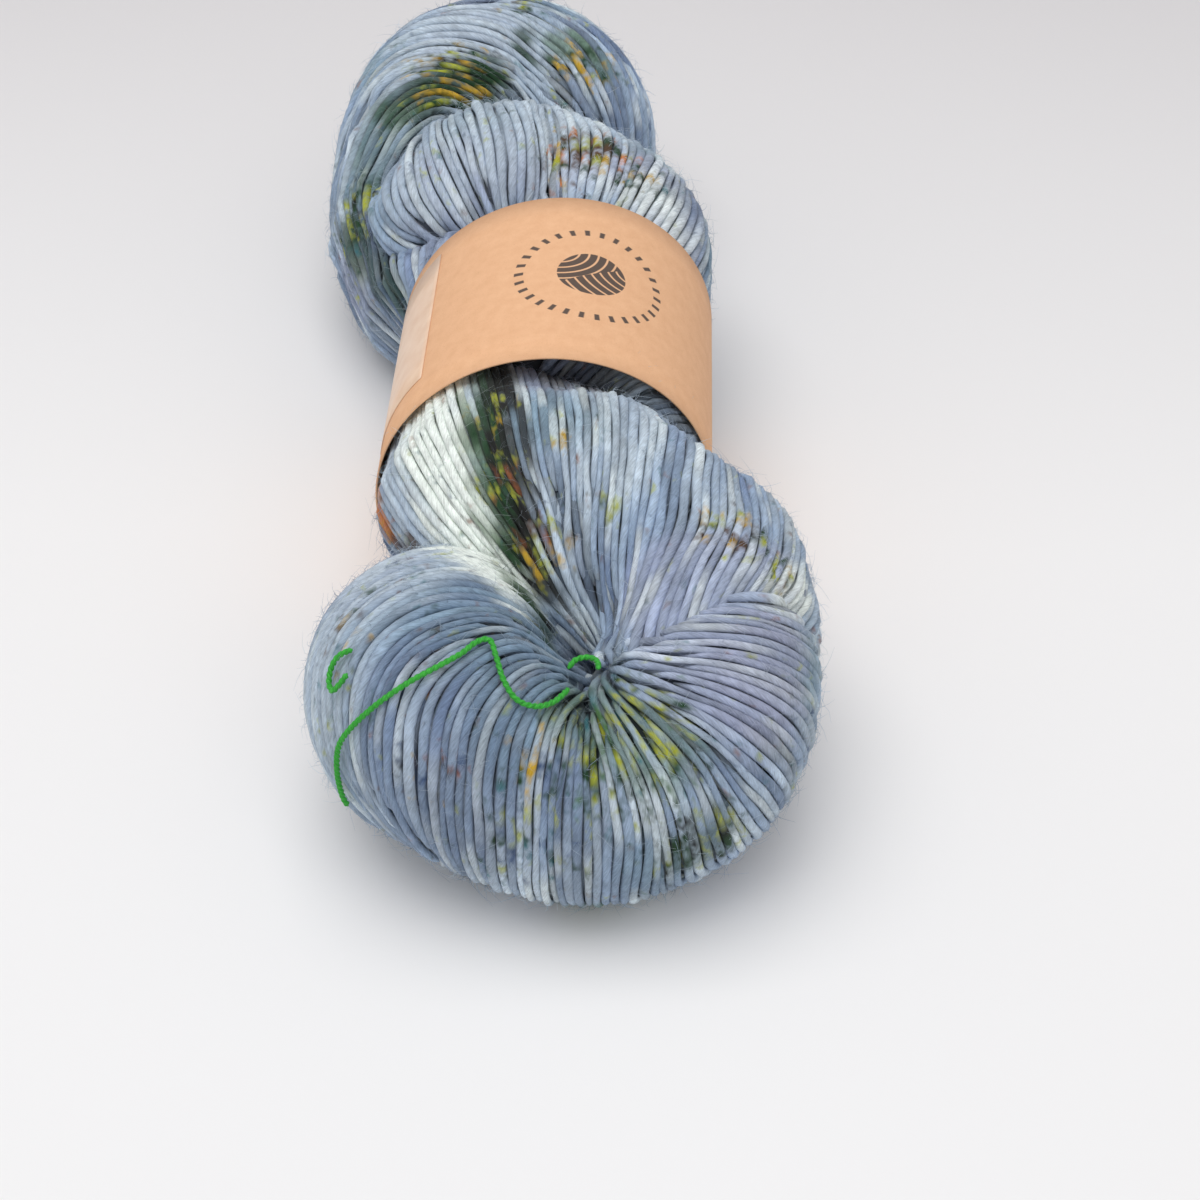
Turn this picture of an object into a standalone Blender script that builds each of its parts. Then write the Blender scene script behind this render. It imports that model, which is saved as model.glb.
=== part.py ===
"""A skein of fine wool yarn: one fat wound strand, twisted on itself and turned back at both ends,
with a kraft paper band round its middle and a green thread tie. Metres, +Z up, the skein lies along Y."""

import math

import bmesh
import bpy
import numpy as np
from mathutils import Matrix, Vector

# ---- driving sizes ----------------------------------------------------------------------------
SKEIN_SHIFT = Vector((0.0025, -0.0150, 0.0))  # from the middle of the band to the middle of the skein's box
STRAND_STEPS = 14                             # sections between two rows of the strand's table
STRAND_SIDES = 28
FUSE_VOXEL = 0.0042                           # the size at which the twisted strand is fused into one solid
SMALLEST_EDGE = 0.00001

BAND_LENGTH = 0.056                           # along the skein
BAND_MIDDLE = -0.002
BAND_SKEW = 0.10                              # how far its edges lean along the skein, per metre across
BAND_RADIUS = 0.0325                          # outside of the paper
BAND_THICKNESS = 0.001
BAND_HEIGHT = 0.0321                          # of its axis, so its underside lies flat for a few millimetres
BAND_STEPS = 72
SEAM_START = 300                              # degrees round from +X, where the strip begins
SEAM_OVERLAP = 24                             # degrees of the strip that lie on its other end
SEAM_RISE = 12                                # degrees over which it climbs onto it
PAPER_GAP = 0.0004                            # between paper and yarn, and between two layers of paper
SQUEEZE_REACH = 0.030                         # how far past the band's edges the yarn still draws in
SQUEEZE_FLARE = 27.0                          # how fast it widens there, per metre

STICKER_FROM = 136                            # degrees round from +X
STICKER_TO = 172
STICKER_LENGTH = 0.043                        # along the skein
STICKER_MIDDLE = 0.0005
STICKER_THICKNESS = 0.0005
STICKER_STEPS = 12

TIE_DIAMETER = 0.0011
TIE_STEPS = 12                                # points between two rows of a route, before they are spaced
TIE_POINT_SPACING = 0.0026
TIE_RESOLUTION = 2

# ---- the strand: one closed loop, in order round it --------------------------------------------
# x, y, z of its centre, then its half width (level) and half height
STRAND = [
    # x       y       z      wide   high
    (0.012, -0.0965, 0.0192, 0.020, 0.020),   # near turn, under the navel
    (0.027, -0.090, 0.026, 0.021, 0.024),
    (0.032, -0.075, 0.031, 0.020, 0.026),     # near turn, right
    (0.028, -0.056, 0.035, 0.021, 0.023),     # rises into the upper lobe
    (0.008, -0.045, 0.041, 0.029, 0.021),     # upper lobe
    (-0.012, -0.026, 0.034, 0.024, 0.025),    # upper lobe, left end
    (-0.015, -0.008, 0.027, 0.019, 0.024),
    (-0.001, 0.008, 0.0185, 0.027, 0.018),    # under the band
    (0.011, 0.030, 0.028, 0.019, 0.023),
    (0.012, 0.046, 0.036, 0.021, 0.022),      # far crown, right half
    (0.002, 0.059, 0.040, 0.025, 0.018),      # far crown, its valley
    (-0.014, 0.063, 0.040, 0.027, 0.022),     # far crown, left half
    (-0.025, 0.058, 0.030, 0.018, 0.023),     # far crown, left end
    (-0.022, 0.076, 0.019, 0.016, 0.018),
    (-0.004, 0.096, 0.0185, 0.019, 0.019),
    (0.002, 0.108, 0.029, 0.017, 0.025),      # far turn, right
    (-0.010, 0.121, 0.0290, 0.024, 0.0296),   # far turn
    (-0.027, 0.116, 0.0290, 0.028, 0.0296),
    (-0.036, 0.100, 0.028, 0.021, 0.027),     # far turn, left
    (-0.039, 0.078, 0.024, 0.017, 0.0225),
    (-0.033, 0.056, 0.022, 0.015, 0.020),
    (-0.016, 0.030, 0.029, 0.018, 0.022),
    (-0.001, 0.006, 0.0450, 0.027, 0.018),    # over the other run, inside the band
    (0.015, -0.018, 0.034, 0.018, 0.024),
    (0.016, -0.034, 0.024, 0.020, 0.022),
    (0.006, -0.052, 0.0175, 0.022, 0.018),    # under the upper lobe
    (-0.011, -0.068, 0.024, 0.022, 0.022),
    (-0.016, -0.085, 0.030, 0.023, 0.026),    # near turn, left shoulder
    (-0.005, -0.0945, 0.025, 0.020, 0.023),
]

# ---- the tie's routes over the near turn: x, y, z ----------------------------------------------
TIE_ROUTES = {
    "tie_tail": [
        (0.0080, -0.0972, 0.0450),            # comes out of the yarn beside the navel
        (0.0056, -0.1006, 0.0451),
        (0.0026, -0.1026, 0.0459),
        (-0.0005, -0.1025, 0.0474),
        (-0.0027, -0.1003, 0.0498),
        (-0.0040, -0.0974, 0.0521),
        (-0.0052, -0.0949, 0.0534),           # its kink
        (-0.0073, -0.0956, 0.0536),
        (-0.0097, -0.0981, 0.0532),
        (-0.0130, -0.1004, 0.0526),
        (-0.0182, -0.1025, 0.0504),
        (-0.0235, -0.1037, 0.0464),
        (-0.0282, -0.1042, 0.0411),
        (-0.0305, -0.1042, 0.0366),
        (-0.0312, -0.1041, 0.0305),
        (-0.0308, -0.1040, 0.0248),
        (-0.0300, -0.1040, 0.0222),           # its cut end, against the side of the lobe
    ],
    "tie_navel": [
        (0.0076, -0.0922, 0.0448),
        (0.0088, -0.0904, 0.0452),
        (0.0108, -0.0898, 0.0453),
        (0.0124, -0.0912, 0.0458),
        (0.0128, -0.0936, 0.0462),
    ],
    "tie_side": [
        (-0.0283, -0.0946, 0.0502),
        (-0.0306, -0.0945, 0.0487),
        (-0.0320, -0.0952, 0.0466),
        (-0.0324, -0.0968, 0.0446),
        (-0.0317, -0.0984, 0.0442),
        (-0.0303, -0.0986, 0.0459),
        (-0.0289, -0.0980, 0.0479),
    ],
}


def clear_scene():
    for obj in list(bpy.data.objects):
        bpy.data.objects.remove(obj, do_unlink=True)


def new_collection(name):
    collection = bpy.data.collections.new(name)
    bpy.context.scene.collection.children.link(collection)
    return collection


def material(name, colour, roughness):
    mat = bpy.data.materials.new(name)
    mat.use_nodes = True
    shader = mat.node_tree.nodes["Principled BSDF"]
    shader.inputs["Base Color"].default_value = (*colour, 1.0)
    shader.inputs["Roughness"].default_value = roughness
    shader.inputs["Metallic"].default_value = 0.0
    return mat


def add_part(name, mesh, mat, parts):
    """A named object that stands where the skein does."""
    obj = bpy.data.objects.new(name, mesh)
    obj.location = SKEIN_SHIFT
    mesh.materials.append(mat)
    parts.objects.link(obj)
    return obj


# ---- the hank ----------------------------------------------------------------------------------
def run_through(rows, steps, closed):
    """A smooth run through the rows: Catmull-Rom, `steps` sections from each row to the next."""
    rows = np.array(rows)
    last = len(rows) - 1
    run = []
    for i in range(last + closed):
        picks = [(i + k) % (last + 1) if closed else min(max(i + k, 0), last) for k in (-1, 0, 1, 2)]
        before, here, there, after = rows[picks]
        for t in np.arange(steps) / steps:
            run.append(0.5 * (2 * here + (there - before) * t
                              + (2 * before - 5 * here + 4 * there - after) * t ** 2
                              + (3 * here - before - 3 * there + after) * t ** 3))
    if not closed:
        run.append(rows[last])
    return np.array(run)


def section_place(run, i):
    """The matrix that puts a unit circle at section i: across is level, up leans with the strand."""
    x, y, z, wide, high = run[i]
    ahead = Vector(run[(i + 1) % len(run)][:3] - run[i - 1][:3]).normalized()
    across = ahead.cross(Vector((0, 0, 1))).normalized()
    up = across.cross(ahead)
    place = Matrix((across * wide, up * high, ahead)).transposed().to_4x4()
    place.translation = (x, y, z)
    return place


def strand_mesh():
    """The wound strand as a closed loop of oval sections, each skinned to the next."""
    run = run_through(STRAND, STRAND_STEPS, closed=True)
    bm = bmesh.new()
    rings = []
    for i in range(len(run)):
        circle = bmesh.ops.create_circle(bm, segments=STRAND_SIDES, radius=1.0, matrix=section_place(run, i))
        rings.append(circle["verts"])
    for ring, following in zip(rings, rings[1:] + rings[:1]):
        for k in range(STRAND_SIDES):
            bm.faces.new((ring[k - 1], ring[k], following[k], following[k - 1]))
    bmesh.ops.recalc_face_normals(bm, faces=bm.faces)
    mesh = bpy.data.meshes.new("hank")
    bm.to_mesh(mesh)
    bm.free()
    return mesh


def squeeze(point):
    """The band draws the yarn in: no point near it stands outside its inner wall, or below its floor."""
    along = point.y - BAND_MIDDLE - BAND_SKEW * point.x
    past_edge = max(0.0, abs(along) - BAND_LENGTH / 2 - BAND_THICKNESS)
    if past_edge > SQUEEZE_REACH:
        return point
    limit = BAND_RADIUS - BAND_THICKNESS - PAPER_GAP + SQUEEZE_FLARE * past_edge ** 2
    axis = Vector((0.0, point.y, BAND_HEIGHT))
    from_axis = point - axis
    if from_axis.length > limit:
        from_axis *= limit / from_axis.length
    squeezed = axis + from_axis
    if past_edge == 0.0:
        squeezed.z = max(squeezed.z, BAND_THICKNESS + PAPER_GAP)
    return squeezed


def rest_flat(bm):
    """What would reach below the floor is cut off level, which leaves the skein's small flat spots."""
    cut = bmesh.ops.bisect_plane(bm, geom=bm.verts[:] + bm.edges[:] + bm.faces[:], dist=SMALLEST_EDGE,
                                 plane_co=(0, 0, 0), plane_no=(0, 0, -1), clear_outer=True)
    rim = [item for item in cut["geom_cut"] if isinstance(item, bmesh.types.BMEdge)]
    bmesh.ops.holes_fill(bm, edges=rim, sides=0)


def build_hank(parts):
    wool = material("wool", (0.45, 0.52, 0.60), 0.9)
    hank = add_part("hank", strand_mesh(), wool, parts)
    fuse = hank.modifiers.new("fuse", "REMESH")
    fuse.mode = "VOXEL"
    fuse.voxel_size = FUSE_VOXEL
    fused = bpy.data.meshes.new_from_object(hank.evaluated_get(bpy.context.evaluated_depsgraph_get()))
    hank.modifiers.remove(fuse)
    hank.data = fused
    bm = bmesh.new()
    bm.from_mesh(fused)
    for vertex in bm.verts:
        vertex.co = squeeze(vertex.co)
    rest_flat(bm)
    bmesh.ops.triangulate(bm, faces=bm.faces)
    bmesh.ops.dissolve_degenerate(bm, dist=SMALLEST_EDGE, edges=bm.edges)
    bmesh.ops.triangulate(bm, faces=bm.faces)
    bm.to_mesh(fused)
    bm.free()
    fused.shade_smooth()
    return hank


# ---- the paper band and its sticker --------------------------------------------------------------
def round_band(degrees, lift):
    """A point of the band's outside, `lift` further out; the underside lies flat on the floor."""
    turn = math.radians(degrees)
    radius = BAND_RADIUS + lift
    return radius * math.cos(turn), max(BAND_HEIGHT + radius * math.sin(turn), -lift)


def strip_mesh(name, angles, lifts, y_from, y_to):
    """An open strip that lies round the band, its faces pointing out."""
    bm = bmesh.new()
    row = []
    for degrees, lift in zip(angles, lifts):
        x, z = round_band(degrees, lift)
        row.append(bm.verts.new((x, y_to + BAND_SKEW * x, z)))
    edges = [bm.edges.new(pair) for pair in zip(row, row[1:])]
    grown = bmesh.ops.extrude_edge_only(bm, edges=edges)["geom"]
    moved = [item for item in grown if isinstance(item, bmesh.types.BMVert)]
    bmesh.ops.translate(bm, verts=moved, vec=(0.0, y_from - y_to, 0.0))
    bm.normal_update()
    first = bm.faces[:][0]
    if first.normal.dot(first.calc_center_median() - Vector((0.0, 0.0, BAND_HEIGHT))) < 0:
        bmesh.ops.reverse_faces(bm, faces=bm.faces)
    mesh = bpy.data.meshes.new(name)
    bm.to_mesh(mesh)
    bm.free()
    mesh.shade_smooth()
    return mesh


def thicken(obj, thickness, offset):
    wall = obj.modifiers.new("wall", "SOLIDIFY")
    wall.thickness = thickness
    wall.offset = offset
    wall.use_even_offset = True


def build_band(parts):
    kraft = material("kraft_paper", (0.79, 0.53, 0.33), 0.8)
    turns = np.linspace(0.0, 360.0 + SEAM_OVERLAP, BAND_STEPS + 1)
    climb = np.clip((turns - (360.0 - SEAM_RISE)) / SEAM_RISE, 0.0, 1.0)
    lifts = (BAND_THICKNESS + PAPER_GAP) * climb ** 2 * (3 - 2 * climb)
    y_from = BAND_MIDDLE - BAND_LENGTH / 2
    strip = strip_mesh("paper_band", SEAM_START + turns, lifts, y_from, y_from + BAND_LENGTH)
    band = add_part("paper_band", strip, kraft, parts)
    thicken(band, BAND_THICKNESS, -1.0)


def build_sticker(parts):
    label = material("pale_label", (0.86, 0.66, 0.50), 0.5)
    angles = np.linspace(STICKER_FROM, STICKER_TO, STICKER_STEPS + 1)
    lifts = [PAPER_GAP] * len(angles)
    y_from = STICKER_MIDDLE - STICKER_LENGTH / 2
    patch = strip_mesh("band_sticker", angles, lifts, y_from, y_from + STICKER_LENGTH)
    sticker = add_part("band_sticker", patch, label, parts)
    thicken(sticker, STICKER_THICKNESS, 1.0)


# ---- the tie -------------------------------------------------------------------------------------
def evenly_spaced(run, spacing):
    """The same run with its points the same distance apart."""
    travelled = np.concatenate(([0.0], np.cumsum(np.linalg.norm(np.diff(run, axis=0), axis=1))))
    stops = np.linspace(0.0, travelled[-1], round(travelled[-1] / spacing) + 1)
    return np.column_stack([np.interp(stops, travelled, run[:, axis]) for axis in range(3)])


def build_tie(parts):
    green = material("green_thread", (0.03, 0.42, 0.04), 0.7)
    for name, route in TIE_ROUTES.items():
        points = evenly_spaced(run_through(route, TIE_STEPS, closed=False), TIE_POINT_SPACING)
        curve = bpy.data.curves.new(name, "CURVE")
        curve.dimensions = "3D"
        curve.bevel_depth = TIE_DIAMETER / 2
        curve.bevel_resolution = TIE_RESOLUTION
        curve.use_fill_caps = True
        spline = curve.splines.new("POLY")
        spline.points.add(len(points) - 1)
        for point, place in zip(spline.points, points):
            point.co = (*place, 1.0)
        add_part(name, curve, green, parts)


def main():
    clear_scene()
    parts = new_collection("skein_of_yarn")
    build_hank(parts)
    build_band(parts)
    build_sticker(parts)
    build_tie(parts)


main()
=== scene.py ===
# A skein of hand-dyed wool in a kraft paper band, tied with green thread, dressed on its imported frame.
import itertools
import math

import bmesh
import bpy
import numpy as np
from mathutils import Matrix, Vector
from mathutils.bvhtree import BVHTree
from mathutils.kdtree import KDTree


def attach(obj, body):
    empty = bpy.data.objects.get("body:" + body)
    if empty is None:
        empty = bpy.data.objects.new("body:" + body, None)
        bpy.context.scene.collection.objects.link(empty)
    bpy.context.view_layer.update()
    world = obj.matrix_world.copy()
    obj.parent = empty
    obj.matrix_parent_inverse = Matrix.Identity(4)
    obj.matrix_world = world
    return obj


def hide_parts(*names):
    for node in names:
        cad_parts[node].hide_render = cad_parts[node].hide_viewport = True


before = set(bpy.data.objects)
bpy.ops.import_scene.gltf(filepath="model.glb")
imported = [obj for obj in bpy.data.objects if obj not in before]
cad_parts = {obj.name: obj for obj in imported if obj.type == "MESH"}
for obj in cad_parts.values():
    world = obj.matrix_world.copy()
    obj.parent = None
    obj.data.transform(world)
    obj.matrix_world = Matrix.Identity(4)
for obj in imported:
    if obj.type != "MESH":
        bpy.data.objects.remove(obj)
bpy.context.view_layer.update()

skeinShift = np.array((0.0025, -0.0150, 0.0))   # where part.py stands the skein
dice = np.random.default_rng(41)


# ---- camera: fitted to the band's two round edges and the skein's outline
cameraSetup = {
    "lookAt": (0.014254, -0.07285, 0.030),
    "distance": 0.40709,
    "elevation": 41.552,
    "azimuth": 2.062,
    "lens": 66,
}


def placeCamera(setup):
    lens = bpy.data.cameras.new("photoCamera")
    lens.lens, lens.sensor_width, lens.clip_start = setup["lens"], 36, 0.01
    camera = bpy.data.objects.new("photoCamera", lens)
    bpy.context.scene.collection.objects.link(camera)
    around, above = math.radians(setup["azimuth"]), math.radians(setup["elevation"])
    back = Vector((math.sin(around) * math.cos(above), -math.cos(around) * math.cos(above), math.sin(above)))
    camera.location = Vector(setup["lookAt"]) + back * setup["distance"]
    camera.rotation_euler = (-back).to_track_quat("-Z", "Y").to_euler()
    bpy.context.scene.camera = camera


placeCamera(cameraSetup)
print("camera placed")


# ---- colours and small helpers
def fromScreen(red, green, blue):
    # a colour as a screen shows it, 0 to 255, made linear
    shares = np.array((red, green, blue)) / 255
    return np.where(shares < 0.043, shares / 12.92, ((shares + 0.055) / 1.055) ** 2.4)


dyes = {name: fromScreen(*shade) for name, shade in {
    "periwinkle": (146, 165, 188), "mist": (196, 210, 222), "slate": (98, 116, 150), "fern": (70, 106, 62),
    "lavender": (168, 172, 198), "mint": (244, 251, 245), "forest": (30, 64, 36), "seaGrey": (128, 156, 172),
    "ink": (20, 20, 20), "bark": (84, 58, 36), "lime": (172, 178, 62), "gold": (198, 160, 48),
    "rust": (140, 84, 52), "orange": (206, 124, 56), "teal": (52, 112, 122), "navy": (58, 80, 118),
}.items()}


def softNoise(places, size, seed):
    # smooth noise from 0 to 1, the same on each run
    cells = np.asarray(places, float) / size
    low = np.floor(cells).astype(np.int64)
    part = cells - low
    part = part * part * (3 - 2 * part)
    total = np.zeros(len(cells))
    for corner in itertools.product((0, 1), repeat=3):
        key = (low + corner) @ np.array((374761393, 668265263, 1440662683)) + seed * 974634777
        key = ((key ^ (key >> 13)) * 1274126177) & 0xFFFFFFFF
        key = ((key ^ (key >> 15)) * 668265263) & 0xFFFFFFFF
        weight = np.prod(np.where(corner, part, 1 - part), axis=1)
        total += weight * ((key ^ (key >> 16)) & 0xFFFF) / 65535
    return total


def alongNoise(yarn, along, size, seed):
    # noise that runs along each yarn by itself
    places = np.column_stack((along, yarn * size * 7.37, np.zeros(len(along))))
    return softNoise(places, size, seed)


def smoothStep(low, high, value):
    t = np.clip((value - low) / (high - low), 0, 1)
    return t * t * (3 - 2 * t)


def unit(vectors):
    return vectors / np.maximum(np.linalg.norm(vectors, axis=-1, keepdims=True), 1e-12)


def runThrough(rows, steps, closed):
    # a smooth run through a table's rows, as part.py makes it
    rows = np.array(rows, float)
    last = len(rows) - 1
    run = []
    for i in range(last + closed):
        picks = [(i + k) % (last + 1) if closed else min(max(i + k, 0), last) for k in (-1, 0, 1, 2)]
        before, here, there, after = rows[picks]
        bend = 2 * before - 5 * here + 4 * there - after
        change = 3 * here - before - 3 * there + after
        for t in np.arange(steps) / steps:
            run.append(0.5 * (2 * here + (there - before) * t + bend * t ** 2 + change * t ** 3))
    if not closed:
        run.append(rows[last])
    return np.array(run)


def travelOf(points):
    return np.concatenate(([0.0], np.cumsum(np.linalg.norm(np.diff(points, axis=0), axis=1))))


def respaced(values, travelled, stops):
    return np.column_stack([np.interp(stops, travelled, values[:, k]) for k in range(values.shape[1])])


def newPiece(name, mesh, material, stands):
    piece = bpy.data.objects.new(name, mesh)
    bpy.context.scene.collection.objects.link(piece)
    mesh.materials.append(material)
    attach(piece, "root")
    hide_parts(stands)
    return piece


def threadsMesh(name, threads, sides, lobes=0.0):
    # many threads as one closed mesh: a ring of corners at each point, the ends capped
    corners, faces, uvs, colours = [], [], [], {"dye": [], "fleck": []}
    turn = 2 * math.pi * np.arange(sides) / sides
    shape = 1 - lobes * (1 - np.abs(np.cos(turn)))
    count = 0
    for thread in threads:
        points, along, number = thread["points"], thread["along"], thread.get("number", 0)
        steps = len(points)
        ahead = unit(np.gradient(points, axis=0))
        out = unit(thread["out"] - ahead * np.sum(thread["out"] * ahead, axis=1, keepdims=True))
        side = np.cross(ahead, out)
        angle = turn[None, :] + np.asarray(thread.get("twist", np.zeros(steps)))[:, None]
        radius = thread["radius"][:, None] * shape[None, :]
        ring = (points[:, None, :] + side[:, None, :] * (radius * np.cos(angle))[:, :, None]
                + out[:, None, :] * (radius * np.sin(angle))[:, :, None])
        corners.append(ring.reshape(-1, 3))
        i, j = np.meshgrid(np.arange(steps - 1), np.arange(sides), indexing="ij")
        i, j = i.ravel(), j.ravel()
        here, ahead, following = i * sides, (i + 1) * sides, (j + 1) % sides
        quads = np.column_stack((here + j, ahead + j, ahead + following, here + following))
        faces.extend((quads + count).tolist())
        uvs.append(np.stack([
            np.column_stack((along[i + further], number + (j + past) / sides))
            for further, past in ((0, 0), (1, 0), (1, 1), (0, 1))
        ], axis=1).reshape(-1, 2))
        for end, order in ((0, range(sides)), (steps - 1, range(sides - 1, -1, -1))):
            faces.append([count + end * sides + k for k in order])
            uvs.append(np.tile((along[end], number + 0.5), (sides, 1)))
        for layer in colours:
            if layer in thread:
                colours[layer].append(np.repeat(thread[layer], sides, axis=0))
        count += steps * sides
    mesh = bpy.data.meshes.new(name)
    mesh.from_pydata(np.concatenate(corners), [], faces)
    lay = mesh.uv_layers.new(name="threadLay")
    lay.data.foreach_set("uv", np.concatenate(uvs).astype(np.float32).ravel())
    for layer, parts in colours.items():
        if parts:
            values = np.concatenate(parts)
            if values.shape[1] == 3:
                values = np.column_stack((values, np.ones(len(values))))
            painted = mesh.color_attributes.new(layer, "FLOAT_COLOR", "POINT")
            painted.data.foreach_set("color", values.astype(np.float32).ravel())
    mesh.shade_smooth()
    return mesh


def meshFrom(bm, name):
    mesh = bpy.data.meshes.new(name)
    bm.to_mesh(mesh)
    bm.free()
    mesh.shade_smooth()
    return mesh


def extruded(bm, edges):
    # what an extrusion adds at its far side
    grown = bmesh.ops.extrude_edge_only(bm, edges=edges)["geom"]
    vertices = [item for item in grown if isinstance(item, bmesh.types.BMVert)]
    fresh = set(vertices)
    edges = [item for item in grown if isinstance(item, bmesh.types.BMEdge) and fresh.issuperset(item.verts)]
    return vertices, edges


# ---- materials: what goes into a node is a number, a colour, a vector or another node's output
def newMaterial(name):
    material = bpy.data.materials.new(name)
    material.use_nodes = True
    return material


def feed(material, node, inputs):
    for name, value in inputs.items():
        slot = node.inputs[name]
        if isinstance(value, bpy.types.NodeSocket):
            material.node_tree.links.new(value, slot)
        else:
            slot.default_value = (*value, 1.0)[:len(slot.default_value)] if np.ndim(value) else value


def newNode(material, kind, inputs, **settings):
    node = material.node_tree.nodes.new(kind)
    for name, setting in settings.items():
        setattr(node, name, setting)
    feed(material, node, inputs)
    return node


def mathNode(material, operation, first, second=0.0, clamp=False):
    settings = {"operation": operation, "use_clamp": clamp}
    return newNode(material, "ShaderNodeMath", {0: first, 1: second}, **settings).outputs[0]


def mixColour(material, share, first, second, blend="MIX"):
    inputs = {0: share, 6: first, 7: second}
    return newNode(material, "ShaderNodeMix", inputs, data_type="RGBA", blend_type=blend).outputs[2]


def stretchedNoise(material, coordinates, stretch, scale, detail, roughness):
    place = newNode(material, "ShaderNodeMapping", {"Scale": stretch, "Vector": coordinates})
    inputs = {"Scale": scale, "Detail": detail, "Roughness": roughness, "Vector": place.outputs[0]}
    return newNode(material, "ShaderNodeTexNoise", inputs).outputs["Fac"]


def rampNode(material, value, stops):
    ramp = newNode(material, "ShaderNodeValToRGB", {"Fac": value})
    while len(ramp.color_ramp.elements) < len(stops):
        ramp.color_ramp.elements.new(0.5)
    for element, (position, shade) in zip(ramp.color_ramp.elements, stops):
        element.position = position
        element.color = (*shade, 1) if np.ndim(shade) else (shade, shade, shade, 1)
    return ramp.outputs["Color"]


def layOf(material, name):
    return newNode(material, "ShaderNodeUVMap", {}, uv_map=name).outputs[0]


def paintOf(material, name):
    return newNode(material, "ShaderNodeVertexColor", {}, layer_name=name).outputs


def placeIn(material):
    return newNode(material, "ShaderNodeTexCoord", {}).outputs["Object"]


def screenRamp(material, value, stops):
    return rampNode(material, value, [(position, fromScreen(*shade)) for position, shade in stops])


def finish(material, inputs, relief=None, strength=0.0, depth=0.0):
    # the shader's own inputs, and a bump where the surface has relief
    if relief is not None:
        raised = {"Strength": strength, "Distance": depth, "Height": relief}
        inputs["Normal"] = newNode(material, "ShaderNodeBump", raised).outputs["Normal"]
    feed(material, material.node_tree.nodes["Principled BSDF"], inputs)


woolLook = {
    # stretch along and round the yarn, scale, detail and roughness
    "fibres": ((420, 3600, 1), 1.0, 3.0, 0.65), "blots": ((250, 1.5, 1), 1.0, 2.0, 0.6),
    "lumps": ((360, 0.9, 1), 1.0, 1.0, 0.5),
    # lumps: painted shade and light, darker in the yarn's thin places and lighter in its thick ones
    "streaks": ((0.30, 0.70), (0.70, 1.20)), "lumpPaintedShade": ((0.30, 0.86), (0.70, 1.10)), "lumpRelief": 0.8,
    "girth": 0.0050, "twist": 24, "fibreBump": 0.8, "fibreDepth": 0.00030,
    "fleckCrowd": 0.50, "fleckFloor": 0.67, "fleckEdge": 4.5,
    "roughness": 0.95, "sheen": 0.10, "sheenRoughness": 0.6, "specular": 0.25,
}


def woolMaterial(name, look):
    # the dye is painted on the yarn; fibres and the flecks' ragged edges come from its own lay
    wool = newMaterial(name)
    dye, fleck, lay = paintOf(wool, "dye"), paintOf(wool, "fleck"), layOf(wool, "threadLay")
    slant = newNode(wool, "ShaderNodeMapping", {
        "Scale": (1.0, look["girth"], 1.0), "Rotation": (0.0, 0.0, math.radians(look["twist"])),
        "Vector": lay,
    })
    fibres = stretchedNoise(wool, slant.outputs[0], *look["fibres"])
    blots = stretchedNoise(wool, lay, *look["blots"])
    lumps = stretchedNoise(wool, lay, *look["lumps"])
    crowd = mathNode(wool, "MULTIPLY", fleck["Alpha"], look["fleckCrowd"])
    above = mathNode(wool, "SUBTRACT", mathNode(wool, "ADD", blots, crowd), look["fleckFloor"])
    share = mathNode(wool, "MULTIPLY", above, look["fleckEdge"], True)
    colour = mixColour(wool, share, dye["Color"], fleck["Color"])
    # the fibres' streaks of tone, and the lumps' painted shade and light
    for grain, shades in ((fibres, look["streaks"]), (lumps, look["lumpPaintedShade"])):
        colour = mixColour(wool, 1.0, colour, rampNode(wool, grain, shades), "MULTIPLY")
    relief = mathNode(wool, "ADD", fibres, mathNode(wool, "MULTIPLY", lumps, look["lumpRelief"]))
    finish(wool, {
        "Base Color": colour, "Roughness": look["roughness"], "Sheen Weight": look["sheen"],
        "Sheen Roughness": look["sheenRoughness"], "Specular IOR Level": look["specular"],
    }, relief, look["fibreBump"], look["fibreDepth"])
    return wool


# ---- the tie: a twisted green thread, one free tail and two bits that dip into the yarn
tieRoutes = {
    "tie_tail": [
        (8, -97.2, 45), (5.6, -100.6, 45.1), (2.6, -102.6, 45.9), (-0.5, -102.5, 47.4),
        (-2.7, -100.3, 49.8), (-4, -97.4, 52.1), (-5.2, -94.9, 53.4), (-7.3, -95.6, 53.6),
        (-9.7, -98.1, 53.2), (-13, -100.4, 52.6), (-18.2, -102.5, 50.4), (-23.5, -103.7, 46.4),
        (-28.2, -104.2, 41.1), (-30.5, -104.2, 36.6), (-31.2, -104.1, 30.5), (-30.8, -104, 24.8),
        (-30, -104, 22.2),
    ],
    "tie_navel": [
        (7.6, -92.2, 44.8), (8.8, -90.4, 45.2), (10.8, -89.8, 45.3), (12.4, -91.2, 45.8),
        (12.8, -93.6, 46.2),
    ],
    "tie_side": [
        (-28.3, -94.6, 50.2), (-30.6, -94.5, 48.7), (-32, -95.2, 46.6), (-32.4, -96.8, 44.6),
        (-31.7, -98.4, 44.2), (-30.3, -98.6, 45.9), (-28.9, -98, 47.9),
    ],
}
tieThread = {
    "diameter": 0.0011, "sides": 12, "spacing": 0.00022, "plyLength": 0.0022, "lobes": 0.34,
    "steps": 12, "endTaper": 0.0004, "endRadius": 0.35, "out": (0.0, -0.35, 1.0),
    "fibres": ((1500, 9, 1), 1.0, 2.0, 0.6), "fibreBump": 0.4, "fibreDepth": 0.0001,
    # the thread's own greens follow its fibres; the lightest is a painted highlight on the raised fibres
    "shades": ((0.25, (22, 128, 26)), (0.55, (44, 172, 44)), (0.85, (96, 206, 84))),
    "roughness": 0.62, "sheen": 0.15,
}


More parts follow.
